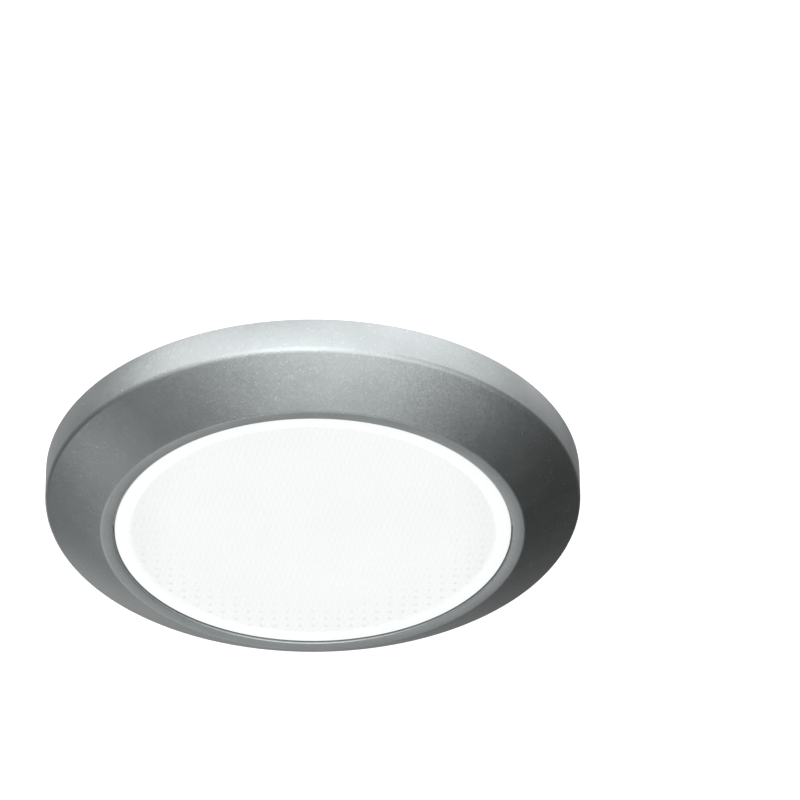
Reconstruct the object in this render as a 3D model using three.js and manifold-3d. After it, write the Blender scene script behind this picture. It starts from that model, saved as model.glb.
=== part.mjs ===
// Slim surface-mounted underwater pool light, in millimetres, +Z up.
//
// The light hangs on a vertical wall: the wall plane is y = 0, the lens faces -Y and the origin
// is the centre of the bracket's back face. Every piece is drawn in the light's own frame, where
// x runs to the right, y runs up the wall and z is the height above the wall, and one group
// turns that frame onto the wall. In a turned profile each corner is [radius, height].

import * as THREE from 'three';
import { mergeVertices } from 'three/addons/utils/BufferGeometryUtils.js';
import Module from 'manifold-3d';

const wasm = await Module();
wasm.setup();

// ---------------------------------------------------------------- driving dimensions

const GAP = 0.3; // clearance between pieces that touch
const RING_STEPS = 60; // facets round the rings that show
const INNER_STEPS = 40; // facets round the rings inside
const PART_STEPS = 20; // facets round the gland and its pieces
const CORD_STEPS = 6; // facets round the o-ring's cord
const SCREW_STEPS = 8; // facets round screws and their holes
const WINDOW_STEPS = 6; // facets round the reflector's small windows
const OVERRUN = 1; // how far a cutter runs past the face it cuts
const SMALL_HOLE_RADIUS = 1.7; // clearance for the clamp and board screws
const SMALL_SHANK_RADIUS = 1.4;

// silver trim ring
const TRIM_RADIUS = 80;
const TRIM_FOOT = 0.3; // the trim's free edge stands just clear of the wall
const TRIM_FOOT_ROUND = 0.3;
const TRIM_WALL = 2.2;
const CREASE_HEIGHT = 11; // where the side wall's line meets the cone's line
const CREASE_ROUND = 2;
const FACE_HEIGHT = 21.2;
const FACE_OUTER = 63.2; // the flat ring round the lens
const FACE_INNER = 59.55;
const FACE_ROUND = 1.6;
const LIP_ROUND = 0.4;
const LIP_DEPTH = 2.8;
const INNER_CREASE_ROUND = 1.2;
const TRIM_RIBS = 6;
const TRIM_RIB_WIDTH = 3;
const TRIM_RIB_LIFT = 1.1; // from the foot to the rib's lower end
const TRIM_RIB_ROOT = 1; // how far a rib runs into the wall

// lens
const LENS_RADIUS = 59.2;
const LENS_FRONT = 20.7;
const LENS_THICKNESS = 2.5;
const LENS_SKIRT_WALL = 1.9;
const LENS_FLANGE_RADIUS = 65.8;
const LENS_FLANGE_TOP = 14.4;
const LENS_FLANGE_THICKNESS = 1.8;
const LENS_EDGE_ROUND = 0.5;

// housing and its clamp
const HOUSING_BACK = 6.5;
const FLOOR_THICKNESS = 2;
const HOUSING_RADIUS = 76.4;
const SEAT_INNER = 60;
const SEAT_OUTER = 66;
const SEAT_HEIGHT = 10.4;
const GASKET_THICKNESS = 1.6;
const GASKET_INNER = 60.8;
const GASKET_OUTER = 65.4;
const CLAMP_INNER = 59.8;
const CLAMP_OUTER = 74;
const CLAMP_TOP = 16;
const CLAMP_FLANGE = 2;
const CLAMP_SCREWS = 8;
const CLAMP_SCREW_CIRCLE = 70.5;
const CLAMP_RISER_WALL = 1.8;
const CLAMP_RISER_GAP = 0.5;
const CLAMP_CHAMFER = 1.6;
const CLAMP_SCREW = { head: 2.4, headHeight: 1.3, shank: SMALL_SHANK_RADIUS, length: 3.9 };

// light engine
const HEAT_PLATE_RADIUS = 58;
const HEAT_PLATE_THICKNESS = 1.5;
const WIRE_WELL_RADIUS = 7;
const BOARD_RADIUS = 56;
const BOARD_THICKNESS = 1.6;
const BOARD_SCREWS = 3;
const BOARD_SCREW_CIRCLE = 49;
const BOARD_SCREW = { head: 2.7, headHeight: 1.6, shank: SMALL_SHANK_RADIUS, length: 5 };
const BOARD_HOLE_SKIN = 0.6; // left under the blind holes in the housing's floor
const BOARD_CENTRE_HOLE = 2.5;
const SCREW_WINDOW_RADIUS = 3.3;
const CONTROL_CHIP = { width: 6.2, depth: 5, height: 1.7 };
const RECTIFIER = { width: 7, depth: 5.4, height: 2.4 };
const CHIP_OFFSET = 7.6;
const REFLECTOR_THICKNESS = 0.6;
const REFLECTOR_CENTRE_HOLE = 13;
const LED_SIZE = 5;
const LED_HEIGHT = 1.6;
const LED_WINDOW_RADIUS = 4.1;
const LEDS_PER_RING = 12;
const INNER_LED_CIRCLE = 24;
const OUTER_LED_CIRCLE = 37.5;

// wall bracket and bayonet
const BRACKET_RADIUS = 64;
const BRACKET_THICKNESS = 2.5;
const BRACKET_HOLE_RADIUS = 22;
const BRACKET_SCREWS = 3;
const BRACKET_SCREW_CIRCLE = 45;
const BRACKET_HOLE = 2.6;
const BRACKET_SCREW = { head: 4, headHeight: 2.4, shank: 2.1, length: 26 };
const BAYONETS = 3;
const HOOK_SPAN = 18; // degrees
const HOOK_INNER = 55.5;
const HOOK_POST_INNER = 60.5;
const HOOK_OUTER = 63;
const HOOK_TOP = 6;
const HOOK_LIP = 1.6;
const STOP_SPAN = 2.5; // degrees
const FOOT_SPAN = 15; // degrees
const FOOT_INNER = 50.5;
const FOOT_NECK = 3;
const FOOT_OUTER = 59.8;
const FOOT_THICKNESS = 1.1;

// cable gland, behind the housing
const GLAND_BORE = 4;
const GLAND_THREAD = 8;
const GLAND_HEX = 24; // across flats
const GLAND_HEX_TOP = 1.3;
const GLAND_HEX_THICKNESS = 3.9;
const GLAND_END = -11.5;
const SLEEVE_INSET = 0.4; // below the housing's floor
const SLEEVE_ROUND = 0.6;
const SEAL_BORE = 3.5;
const SEAL_RADIUS = 6;
const SEAL_LENGTH = 6.2;
const SEAL_TAPER = 1.2;
const O_RING_SQUEEZE = 0.15; // clearance at the o-ring's two faces
const O_RING_OFFSET = 0.4; // from the boss's bore to the o-ring's inner side
const WASHER_THICKNESS = 1;
const WASHER_CLEARANCE = 0.2;
const BOSS_RADIUS = 13.5;
const BOSS_BACK = 3.4;
const NUT_TOP = -3.4;
const NUT_LENGTH = 13.8;
const NUT_END_WALL = 2.6;
const NUT_HOLE = 4.6;
const NUT_HEX_LENGTH = 6.5;
const NUT_HEX_INSET = 0.2;
const NUT_BODY_INSET = 0.4; // from the flats to the round body
const NUT_THREAD_CLEARANCE = 0.5;
const NUT_NECK_ROUND = 2;
const NUT_END_ROUND = 1;

// heights that follow from the stack
const FLOOR_TOP = HOUSING_BACK + FLOOR_THICKNESS;
const HEAT_PLATE_BASE = FLOOR_TOP + GAP;
const HEAT_PLATE_TOP = HEAT_PLATE_BASE + HEAT_PLATE_THICKNESS;
const BOARD_BASE = HEAT_PLATE_TOP + GAP;
const BOARD_TOP = BOARD_BASE + BOARD_THICKNESS;
const ON_BOARD = BOARD_TOP + GAP;
const CLAMP_BASE = FLOOR_TOP + GAP;

// ---------------------------------------------------------------- finishes

const finish = (color, roughness, metalness = 0) => ({ color, roughness, metalness });
const SILVER_PAINT = finish(0x9aa0a2, 0.35, 0.7);
const LIT_LENS = finish(0xf4f7f8, 0.25);
const GREY_PLASTIC = finish(0xb9bdbd, 0.55);
const WHITE_PLASTIC = finish(0xe4e6e4, 0.5);
const BLACK_PLASTIC = finish(0x1c1e20, 0.5);
const SILICONE = finish(0x2a2c2e, 0.85);
const STAINLESS = finish(0xc4c6c8, 0.3, 1);
const ALUMINIUM = finish(0xb4b8bb, 0.4, 1);
const WHITE_BOARD = finish(0xeef0ee, 0.35);
const REFLECTOR_WHITE = finish(0xfafafa, 0.3);
const WHITE_LED = finish(0xf3e08a, 0.3);
const COLOUR_LED = finish(0xdfe9f2, 0.2);

// ---------------------------------------------------------------- shape helpers

const polar = (radius, degrees) => {
  const angle = THREE.MathUtils.degToRad(degrees);
  return [radius * Math.cos(angle), radius * Math.sin(angle)];
};

const evenly = (count, start = 0) =>
  Array.from({ length: count }, (_, index) => start + (360 * index) / count);

// Replaces the corner at `corner`, between the points before and after it, with an arc.
function roundCorner(before, corner, after, radius, steps) {
  const toBefore = before.clone().sub(corner).normalize();
  const toAfter = after.clone().sub(corner).normalize();
  const halfAngle = toBefore.angleTo(toAfter) / 2;
  const middle = toBefore.clone().add(toAfter).normalize();
  const centre = corner.clone().addScaledVector(middle, radius / Math.sin(halfAngle));
  const start = corner.clone().addScaledVector(toBefore, radius / Math.tan(halfAngle)).sub(centre);
  const turn = Math.PI - 2 * halfAngle;
  const side = Math.sign(toAfter.cross(toBefore));
  const origin = new THREE.Vector2();
  return Array.from({ length: steps + 1 }, (_, index) =>
    start.clone().rotateAround(origin, (side * turn * index) / steps).add(centre));
}

// A turned solid. Corners run counter-clockwise as [radius, height, optional rounding radius].
// The outline closes on itself unless it starts and ends on the axis.
function turned(corners, steps, arcSteps = 4) {
  const points = corners.map(([radius, height]) => new THREE.Vector2(radius, height));
  const outline = points.flatMap((point, index) => {
    const rounding = corners[index][2];
    if (!rounding) return [point];
    const before = points.at(index - 1);
    const after = points[(index + 1) % points.length];
    return roundCorner(before, point, after, rounding, arcSteps);
  });
  const onAxis = corners[0][0] === 0;
  if (!onAxis) outline.push(outline[0].clone());
  return new THREE.LatheGeometry(outline, steps).rotateX(Math.PI / 2);
}

const rod = (radius, low, high, steps) =>
  turned([[0, low], [radius, low], [radius, high], [0, high]], steps);

const tube = (inner, outer, low, high, steps) =>
  turned([[inner, low], [outer, low], [outer, high], [inner, high]], steps);

const block = (width, depth, low, high) =>
  new THREE.BoxGeometry(width, depth, high - low).translate(0, 0, (low + high) / 2);

const hexPrism = (acrossFlats, low, high) => rod(acrossFlats / Math.sqrt(3), low, high, 6);

// A curved bar between two radii, two heights and two angles in degrees.
function arcBar(inner, outer, low, high, from, to) {
  const start = THREE.MathUtils.degToRad(from);
  const end = THREE.MathUtils.degToRad(to);
  const shape = new THREE.Shape();
  shape.absarc(0, 0, outer, start, end, false);
  shape.absarc(0, 0, inner, end, start, true);
  const settings = { depth: high - low, bevelEnabled: false, curveSegments: 5 };
  return new THREE.ExtrudeGeometry(shape, settings).translate(0, 0, low);
}

function solidOf(geometry) {
  const bare = geometry.clone();
  bare.deleteAttribute('normal');
  bare.deleteAttribute('uv');
  const merged = mergeVertices(bare, 1e-4);
  const vertProperties = Float32Array.from(merged.attributes.position.array);
  const triVerts = Uint32Array.from(merged.index.array);
  return new wasm.Manifold(new wasm.Mesh({ numProp: 3, vertProperties, triVerts }));
}

function geometryOf(solid) {
  const { vertProperties, triVerts } = solid.getMesh();
  const geometry = new THREE.BufferGeometry();
  geometry.setAttribute('position', new THREE.BufferAttribute(vertProperties, 3));
  geometry.setIndex(new THREE.BufferAttribute(triVerts, 1));
  geometry.computeVertexNormals();
  return geometry;
}

// Joins the `added` shapes to the base and then cuts the `removed` ones out of it.
function built(base, { added = [], removed = [] }) {
  const joined = added.reduce((solid, shape) => solid.add(solidOf(shape)), solidOf(base));
  return geometryOf(removed.reduce((solid, shape) => solid.subtract(solidOf(shape)), joined));
}

// One straight hole at each angle on a circle.
const holes = (angles, circle, radius, low, high, steps = SCREW_STEPS) =>
  angles.map((degrees) => rod(radius, low, high, steps).translate(...polar(circle, degrees), 0));

// ---------------------------------------------------------------- scene graph

const light = new THREE.Group();
light.rotation.x = Math.PI / 2;

function place(name, geometry, look, [x, y, height] = [0, 0, 0], turn = 0) {
  const mesh = new THREE.Mesh(geometry, new THREE.MeshStandardMaterial(look));
  mesh.name = name;
  mesh.position.set(x, y, height);
  mesh.rotation.z = THREE.MathUtils.degToRad(turn);
  light.add(mesh);
}

// A pan-head screw whose head sits on height 0 and whose shank points down.
const panScrew = ({ head, headHeight, shank, length }) =>
  turned([
    [0, -length],
    [shank, -length],
    [shank, 0],
    [head, 0],
    [head, headHeight * 0.5],
    [head * 0.6, headHeight],
    [0, headHeight],
  ], SCREW_STEPS);

// ---------------------------------------------------------------- wall bracket

const bayonetAngles = evenly(BAYONETS, 90);
const bracketScrewAngles = evenly(BRACKET_SCREWS, 30);

function addBracket() {
  const plate = tube(BRACKET_HOLE_RADIUS, BRACKET_RADIUS, 0, BRACKET_THICKNESS, INNER_STEPS);
  const root = BRACKET_THICKNESS - OVERRUN;
  const hooks = bayonetAngles.flatMap((degrees) => {
    const from = degrees - HOOK_SPAN / 2;
    const to = degrees + HOOK_SPAN / 2;
    const lipBase = HOOK_TOP - HOOK_LIP;
    return [
      arcBar(HOOK_POST_INNER, HOOK_OUTER, root, HOOK_TOP, from, to),
      arcBar(HOOK_INNER, HOOK_OUTER - 0.5, lipBase, HOOK_TOP - 0.01, from, to),
      arcBar(HOOK_INNER + 0.5, HOOK_OUTER - 0.2, root, HOOK_TOP - 0.02, from - STOP_SPAN + 1, from + 1),
    ];
  });
  const top = BRACKET_THICKNESS + OVERRUN;
  const cut = holes(bracketScrewAngles, BRACKET_SCREW_CIRCLE, BRACKET_HOLE, -OVERRUN, top);
  place('wall_bracket', built(plate, { added: hooks, removed: cut }), GREY_PLASTIC);
  const screw = panScrew(BRACKET_SCREW);
  bracketScrewAngles.forEach((degrees, index) => {
    const spot = [...polar(BRACKET_SCREW_CIRCLE, degrees), BRACKET_THICKNESS + GAP];
    place(`bracket_screw_${index + 1}`, screw, STAINLESS, spot, degrees);
  });
}

// ---------------------------------------------------------------- housing

const clampScrewAngles = evenly(CLAMP_SCREWS, 22.5);
const boardScrewAngles = evenly(BOARD_SCREWS, 60);

function addHousing() {
  const dish = turned([
    [GLAND_THREAD + GAP, BOSS_BACK],
    [BOSS_RADIUS, BOSS_BACK],
    [BOSS_RADIUS, HOUSING_BACK],
    [HOUSING_RADIUS, HOUSING_BACK, 0.6],
    [HOUSING_RADIUS, FLOOR_TOP, 0.6],
    [SEAT_OUTER, FLOOR_TOP],
    [SEAT_OUTER, SEAT_HEIGHT],
    [SEAT_INNER, SEAT_HEIGHT],
    [SEAT_INNER, FLOOR_TOP],
    [GLAND_THREAD + GAP, FLOOR_TOP],
  ], INNER_STEPS, 1);
  const footBase = BRACKET_THICKNESS + GAP + 0.1;
  const feet = bayonetAngles.flatMap((degrees) => {
    const from = degrees - FOOT_SPAN / 2;
    const to = degrees + FOOT_SPAN / 2;
    return [
      arcBar(FOOT_INNER, FOOT_INNER + FOOT_NECK, footBase, HOUSING_BACK + OVERRUN, from, to),
      arcBar(FOOT_INNER + 0.1, FOOT_OUTER, footBase + 0.01, footBase + FOOT_THICKNESS, from, to),
    ];
  });
  const low = HOUSING_BACK - OVERRUN;
  const blind = HOUSING_BACK + BOARD_HOLE_SKIN;
  const high = FLOOR_TOP + OVERRUN;
  const cut = [
    ...holes(clampScrewAngles, CLAMP_SCREW_CIRCLE, SMALL_HOLE_RADIUS, low, high),
    ...holes(boardScrewAngles, BOARD_SCREW_CIRCLE, SMALL_HOLE_RADIUS, blind, high),
  ];
  const geometry = built(dish, { added: feet, removed: cut });
  place('back_housing', geometry, WHITE_PLASTIC);
}

// ---------------------------------------------------------------- lens, gasket and clamp

function addLens() {
  const flangeBase = LENS_FLANGE_TOP - LENS_FLANGE_THICKNESS;
  const skirtInner = LENS_RADIUS - LENS_SKIRT_WALL;
  const ceiling = LENS_FRONT - LENS_THICKNESS;
  const lens = turned([
    [0, ceiling],
    [skirtInner, ceiling],
    [skirtInner, flangeBase],
    [LENS_FLANGE_RADIUS, flangeBase],
    [LENS_FLANGE_RADIUS, LENS_FLANGE_TOP],
    [LENS_RADIUS, LENS_FLANGE_TOP],
    [LENS_RADIUS, LENS_FRONT, LENS_EDGE_ROUND],
    [0, LENS_FRONT],
  ], RING_STEPS, 2);
  place('lens', lens, LIT_LENS);

  const gasketBase = SEAT_HEIGHT + GAP;
  const gasketTop = gasketBase + GASKET_THICKNESS;
  const gasket = tube(GASKET_INNER, GASKET_OUTER, gasketBase, gasketTop, INNER_STEPS);
  place('lens_gasket', gasket, SILICONE);
}

function addClamp() {
  const lipBase = LENS_FLANGE_TOP + GAP;
  const riserInner = LENS_FLANGE_RADIUS + CLAMP_RISER_GAP;
  const riserOuter = riserInner + CLAMP_RISER_WALL;
  const flangeTop = CLAMP_BASE + CLAMP_FLANGE;
  const ring = turned([
    [riserInner, CLAMP_BASE],
    [CLAMP_OUTER, CLAMP_BASE],
    [CLAMP_OUTER, flangeTop],
    [riserOuter, flangeTop],
    [riserOuter, CLAMP_TOP - CLAMP_CHAMFER],
    [riserInner - 1, CLAMP_TOP],
    [CLAMP_INNER, CLAMP_TOP],
    [CLAMP_INNER, lipBase],
    [riserInner, lipBase],
  ], INNER_STEPS);
  const low = CLAMP_BASE - OVERRUN;
  const high = flangeTop + OVERRUN;
  const cut = holes(clampScrewAngles, CLAMP_SCREW_CIRCLE, SMALL_HOLE_RADIUS, low, high);
  place('lens_clamp_ring', built(ring, { removed: cut }), GREY_PLASTIC);
  const screw = panScrew(CLAMP_SCREW);
  clampScrewAngles.forEach((degrees, index) => {
    const spot = [...polar(CLAMP_SCREW_CIRCLE, degrees), flangeTop + GAP];
    place(`clamp_screw_${index + 1}`, screw, STAINLESS, spot, degrees);
  });
}

// ---------------------------------------------------------------- silver trim ring

function addTrim() {
  const slope = (FACE_HEIGHT - CREASE_HEIGHT) / (TRIM_RADIUS - FACE_OUTER);
  const wallBelow = TRIM_WALL * Math.hypot(1, slope); // the wall's thickness measured along height
  const innerCone = (radius) => FACE_HEIGHT - wallBelow - slope * (radius - FACE_OUTER);
  const lipBase = FACE_HEIGHT - LIP_DEPTH;
  const lipOuter = FACE_OUTER + (innerCone(FACE_OUTER) - lipBase) / slope;
  const sideInner = TRIM_RADIUS - TRIM_WALL;
  const shell = turned([
    [sideInner, TRIM_FOOT],
    [TRIM_RADIUS, TRIM_FOOT, TRIM_FOOT_ROUND],
    [TRIM_RADIUS, CREASE_HEIGHT, CREASE_ROUND],
    [FACE_OUTER, FACE_HEIGHT, FACE_ROUND],
    [FACE_INNER, FACE_HEIGHT, LIP_ROUND],
    [FACE_INNER, lipBase],
    [lipOuter, lipBase],
    [sideInner, innerCone(sideInner), INNER_CREASE_ROUND],
  ], RING_STEPS, 3);
  const ribLow = TRIM_FOOT + TRIM_RIB_LIFT;
  const ribDepth = sideInner - HOUSING_RADIUS - GAP;
  const ribCentre = sideInner - ribDepth / 2 + TRIM_RIB_ROOT / 2;
  const ribs = evenly(TRIM_RIBS, 0).map((degrees) =>
    block(ribDepth + TRIM_RIB_ROOT, TRIM_RIB_WIDTH, ribLow, innerCone(sideInner) - TRIM_RIB_ROOT)
      .translate(ribCentre, 0, 0)
      .rotateZ(THREE.MathUtils.degToRad(degrees)));
  place('trim_ring', built(shell, { added: ribs }), SILVER_PAINT);
}

// ---------------------------------------------------------------- light engine

const innerLedAngles = evenly(LEDS_PER_RING, 0);
const outerLedAngles = evenly(LEDS_PER_RING, 15);

function addHeatPlate() {
  const plate = tube(WIRE_WELL_RADIUS, HEAT_PLATE_RADIUS, HEAT_PLATE_BASE, HEAT_PLATE_TOP, INNER_STEPS);
  const cut = holes(boardScrewAngles, BOARD_SCREW_CIRCLE, SMALL_HOLE_RADIUS, FLOOR_TOP, BOARD_BASE);
  place('heat_plate', built(plate, { removed: cut }), ALUMINIUM);
}

const packageOf = ({ width, depth, height }) => block(width, depth, 0, height);

function addBoard() {
  const board = tube(BOARD_CENTRE_HOLE, BOARD_RADIUS, BOARD_BASE, BOARD_TOP, INNER_STEPS);
  const cut = holes(boardScrewAngles, BOARD_SCREW_CIRCLE, SMALL_HOLE_RADIUS, HEAT_PLATE_TOP, ON_BOARD);
  place('led_board', built(board, { removed: cut }), WHITE_BOARD);
  const screw = panScrew(BOARD_SCREW);
  boardScrewAngles.forEach((degrees, index) => {
    const spot = [...polar(BOARD_SCREW_CIRCLE, degrees), ON_BOARD];
    place(`board_screw_${index + 1}`, screw, STAINLESS, spot, degrees);
  });
  place('control_chip', packageOf(CONTROL_CHIP), BLACK_PLASTIC, [0, -CHIP_OFFSET, ON_BOARD]);
  place('rectifier', packageOf(RECTIFIER), BLACK_PLASTIC, [0, CHIP_OFFSET, ON_BOARD]);
}

function addReflector() {
  const sheetTop = ON_BOARD + REFLECTOR_THICKNESS;
  const sheet = tube(REFLECTOR_CENTRE_HOLE, BOARD_RADIUS, ON_BOARD, sheetTop, INNER_STEPS);
  const low = ON_BOARD - OVERRUN;
  const high = sheetTop + OVERRUN;
  const cut = [
    ...holes(innerLedAngles, INNER_LED_CIRCLE, LED_WINDOW_RADIUS, low, high, WINDOW_STEPS),
    ...holes(outerLedAngles, OUTER_LED_CIRCLE, LED_WINDOW_RADIUS, low, high, WINDOW_STEPS),
    ...holes(boardScrewAngles, BOARD_SCREW_CIRCLE, SCREW_WINDOW_RADIUS, low, high, WINDOW_STEPS),
  ];
  place('reflector_sheet', built(sheet, { removed: cut }), REFLECTOR_WHITE);
}

// White emitters fill the outer ring. On the inner ring they alternate with coloured ones.
function addLeds() {
  const chip = block(LED_SIZE, LED_SIZE, 0, LED_HEIGHT);
  const counts = { white: 0, colour: 0 };
  const addLed = (kind, circle, degrees) => {
    counts[kind] += 1;
    const look = kind === 'white' ? WHITE_LED : COLOUR_LED;
    place(`led_${kind}_${counts[kind]}`, chip, look, [...polar(circle, degrees), ON_BOARD], degrees);
  };
  innerLedAngles.forEach((degrees, index) => {
    addLed(index % 2 === 0 ? 'colour' : 'white', INNER_LED_CIRCLE, degrees);
  });
  outerLedAngles.forEach((degrees) => {
    addLed('white', OUTER_LED_CIRCLE, degrees);
  });
}

// ---------------------------------------------------------------- cable gland

function addGland() {
  const hexBase = GLAND_HEX_TOP - GLAND_HEX_THICKNESS;
  const sealPocket = SEAL_RADIUS + GAP;
  const pocketTop = GLAND_END + SEAL_LENGTH - SEAL_TAPER;
  const sleeveTop = FLOOR_TOP - SLEEVE_INSET;
  const sleeve = turned([
    [sealPocket, GLAND_END],
    [GLAND_THREAD, GLAND_END, SLEEVE_ROUND],
    [GLAND_THREAD, sleeveTop],
    [GLAND_BORE, sleeveTop],
    [GLAND_BORE, pocketTop],
    [sealPocket, pocketTop],
  ], PART_STEPS, 2);
  const collarBore = rod(GLAND_THREAD - OVERRUN, hexBase - OVERRUN, GLAND_HEX_TOP + OVERRUN, PART_STEPS);
  const hexCollar = built(hexPrism(GLAND_HEX, hexBase, GLAND_HEX_TOP), { removed: [collarBore] });
  place('gland_body', built(sleeve, { added: [hexCollar] }), BLACK_PLASTIC);

  const cordRadius = (BOSS_BACK - GLAND_HEX_TOP) / 2 - O_RING_SQUEEZE;
  const ringRadius = GLAND_THREAD + GAP + O_RING_OFFSET + cordRadius;
  const ring = new THREE.TorusGeometry(ringRadius, cordRadius, CORD_STEPS, PART_STEPS);
  place('gland_o_ring', ring, SILICONE, [0, 0, (BOSS_BACK + GLAND_HEX_TOP) / 2]);

  const sealTop = pocketTop - GAP;
  const sealBase = sealTop - SEAL_LENGTH;
  const seal = turned([
    [SEAL_BORE, sealBase],
    [SEAL_RADIUS - SEAL_TAPER, sealBase],
    [SEAL_RADIUS, GLAND_END],
    [SEAL_RADIUS, sealTop],
    [SEAL_BORE, sealTop],
  ], PART_STEPS);
  place('gland_seal', seal, SILICONE);

  const washerTop = sealBase - GAP;
  const washerBase = washerTop - WASHER_THICKNESS;
  const washerHole = GLAND_BORE + WASHER_CLEARANCE;
  const washer = tube(washerHole, GLAND_THREAD, washerBase, washerTop, PART_STEPS);
  place('gland_slip_washer', washer, WHITE_PLASTIC);

  const nutBase = NUT_TOP - NUT_LENGTH;
  const hexBottom = NUT_TOP - NUT_HEX_LENGTH;
  const threadRadius = GLAND_THREAD + NUT_THREAD_CLEARANCE;
  const bodyRadius = GLAND_HEX / 2 - NUT_BODY_INSET;
  const dome = turned([
    [NUT_HOLE, nutBase],
    [GLAND_THREAD, nutBase, NUT_END_ROUND],
    [bodyRadius, hexBottom - SEAL_TAPER, NUT_NECK_ROUND],
    [bodyRadius, NUT_TOP],
    [threadRadius, NUT_TOP],
    [threadRadius, nutBase + NUT_END_WALL],
    [NUT_HOLE, nutBase + NUT_END_WALL],
  ], PART_STEPS, 2);
  const flatsBore = rod(threadRadius + OVERRUN, hexBottom - OVERRUN, NUT_TOP + OVERRUN, PART_STEPS);
  const flats = built(hexPrism(GLAND_HEX, hexBottom, NUT_TOP - NUT_HEX_INSET), { removed: [flatsBore] });
  place('gland_nut', built(dome, { added: [flats] }), BLACK_PLASTIC);
}

addBracket();
addHousing();
addLens();
addClamp();
addTrim();
addHeatPlate();
addBoard();
addReflector();
addLeds();
addGland();

const poolLight = new THREE.Group();
poolLight.add(light);

export default poolLight;
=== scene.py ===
"""Visual model of a slim, round, surface-mounted underwater pool light.

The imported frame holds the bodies, joints and sizes. This script models the pieces in finer detail,
gives every piece a procedural finish, and sets up a pale floor, soft studio light and the camera.

Pieces are drawn in the light's own frame, where x runs to the right, y runs up the wall and z is
the height above the wall. The last step of each piece turns it onto the wall: z becomes -Y and y
becomes Z.
"""

from __future__ import annotations

import logging
import math
from dataclasses import dataclass, field
from enum import Enum
from typing import Callable, Iterable, Mapping, Sequence, Union

import bmesh
import bpy
from mathutils import Matrix, Vector


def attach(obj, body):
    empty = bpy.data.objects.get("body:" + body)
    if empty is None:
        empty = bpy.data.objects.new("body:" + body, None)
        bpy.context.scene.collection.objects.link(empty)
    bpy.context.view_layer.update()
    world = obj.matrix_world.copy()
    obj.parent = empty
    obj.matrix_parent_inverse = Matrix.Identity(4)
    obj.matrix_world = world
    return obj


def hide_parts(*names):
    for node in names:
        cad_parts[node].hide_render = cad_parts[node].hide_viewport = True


log = logging.getLogger("pool_light")

MM = 0.001
RING_STEPS = 240
INNER_STEPS = 120
PART_STEPS = 96
SMALL_STEPS = 32
HEXAGON = 6
EDGE_STEPS = 3
EDGE_WIDTH = 0.35 * MM
FINE_DETAIL = 3.0
THREAD_STEPS = 20
THREAD_FLATNESS = 0.7
FLAT = 0.9
WELD = 1e-6
CLEARANCE = 0.3 * MM
OVERRUN = 1.0
FAR = 20.0

Colour = tuple[float, float, float]
Spot = tuple[float, float, float]


# ------------------------------------------------------------------------------ shader maths


class Value:
    """A shader socket that takes part in sums: arithmetic on it adds Math nodes."""

    def __init__(self, graph: "Graph", socket: bpy.types.NodeSocket) -> None:
        """Wraps a socket.

        Args:
            graph: The graph that the socket belongs to.
            socket: The output socket.
        """
        self.graph = graph
        self.socket = socket

    def maths(self, operation: str, *others: "Number", clamp: bool = False) -> "Value":
        """Adds one Math node whose first input is this value.

        Args:
            operation: The Math node's operation.
            others: The second and third inputs, where the operation has them.
            clamp: Keeps the result between 0 and 1.

        Returns:
            The node's output.
        """
        inputs = dict(enumerate((self, *others)))
        settings = {"operation": operation, "use_clamp": clamp}
        return self.graph.node("ShaderNodeMath", settings, inputs)

    def __add__(self, other: "Number") -> "Value":
        """Returns this value plus the other."""
        return self.maths("ADD", other)

    def __radd__(self, other: "Number") -> "Value":
        """Returns the other plus this value."""
        return self.maths("ADD", other)

    def __sub__(self, other: "Number") -> "Value":
        """Returns this value less the other."""
        return self.maths("SUBTRACT", other)

    def __rsub__(self, other: "Number") -> "Value":
        """Returns the other less this value."""
        return self.maths("MULTIPLY", -1.0) + other

    def __mul__(self, other: "Number") -> "Value":
        """Returns this value times the other."""
        return self.maths("MULTIPLY", other)

    def __rmul__(self, other: "Number") -> "Value":
        """Returns the other times this value."""
        return self.maths("MULTIPLY", other)

    def __truediv__(self, other: "Number") -> "Value":
        """Returns this value divided by the other."""
        return self.maths("DIVIDE", other)

    def __pow__(self, other: "Number") -> "Value":
        """Returns this value raised to the other."""
        return self.maths("POWER", other)

    def step(self, low: float, high: float) -> "Value":
        """Eases from 0 at low to 1 at high.

        Args:
            low: Where the result leaves 0.
            high: Where the result reaches 1.

        Returns:
            The eased value, between 0 and 1.
        """
        settings = {"interpolation_type": "SMOOTHSTEP"}
        inputs = {"Value": self, "From Min": low, "From Max": high}
        return self.graph.node("ShaderNodeMapRange", settings, inputs)


Number = Union[float, Value]


def shaded(colour: Colour, factor: float) -> Colour:
    """Returns a colour made darker or paler by a factor."""
    return tuple(min(1.0, part * factor) for part in colour)


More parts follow.
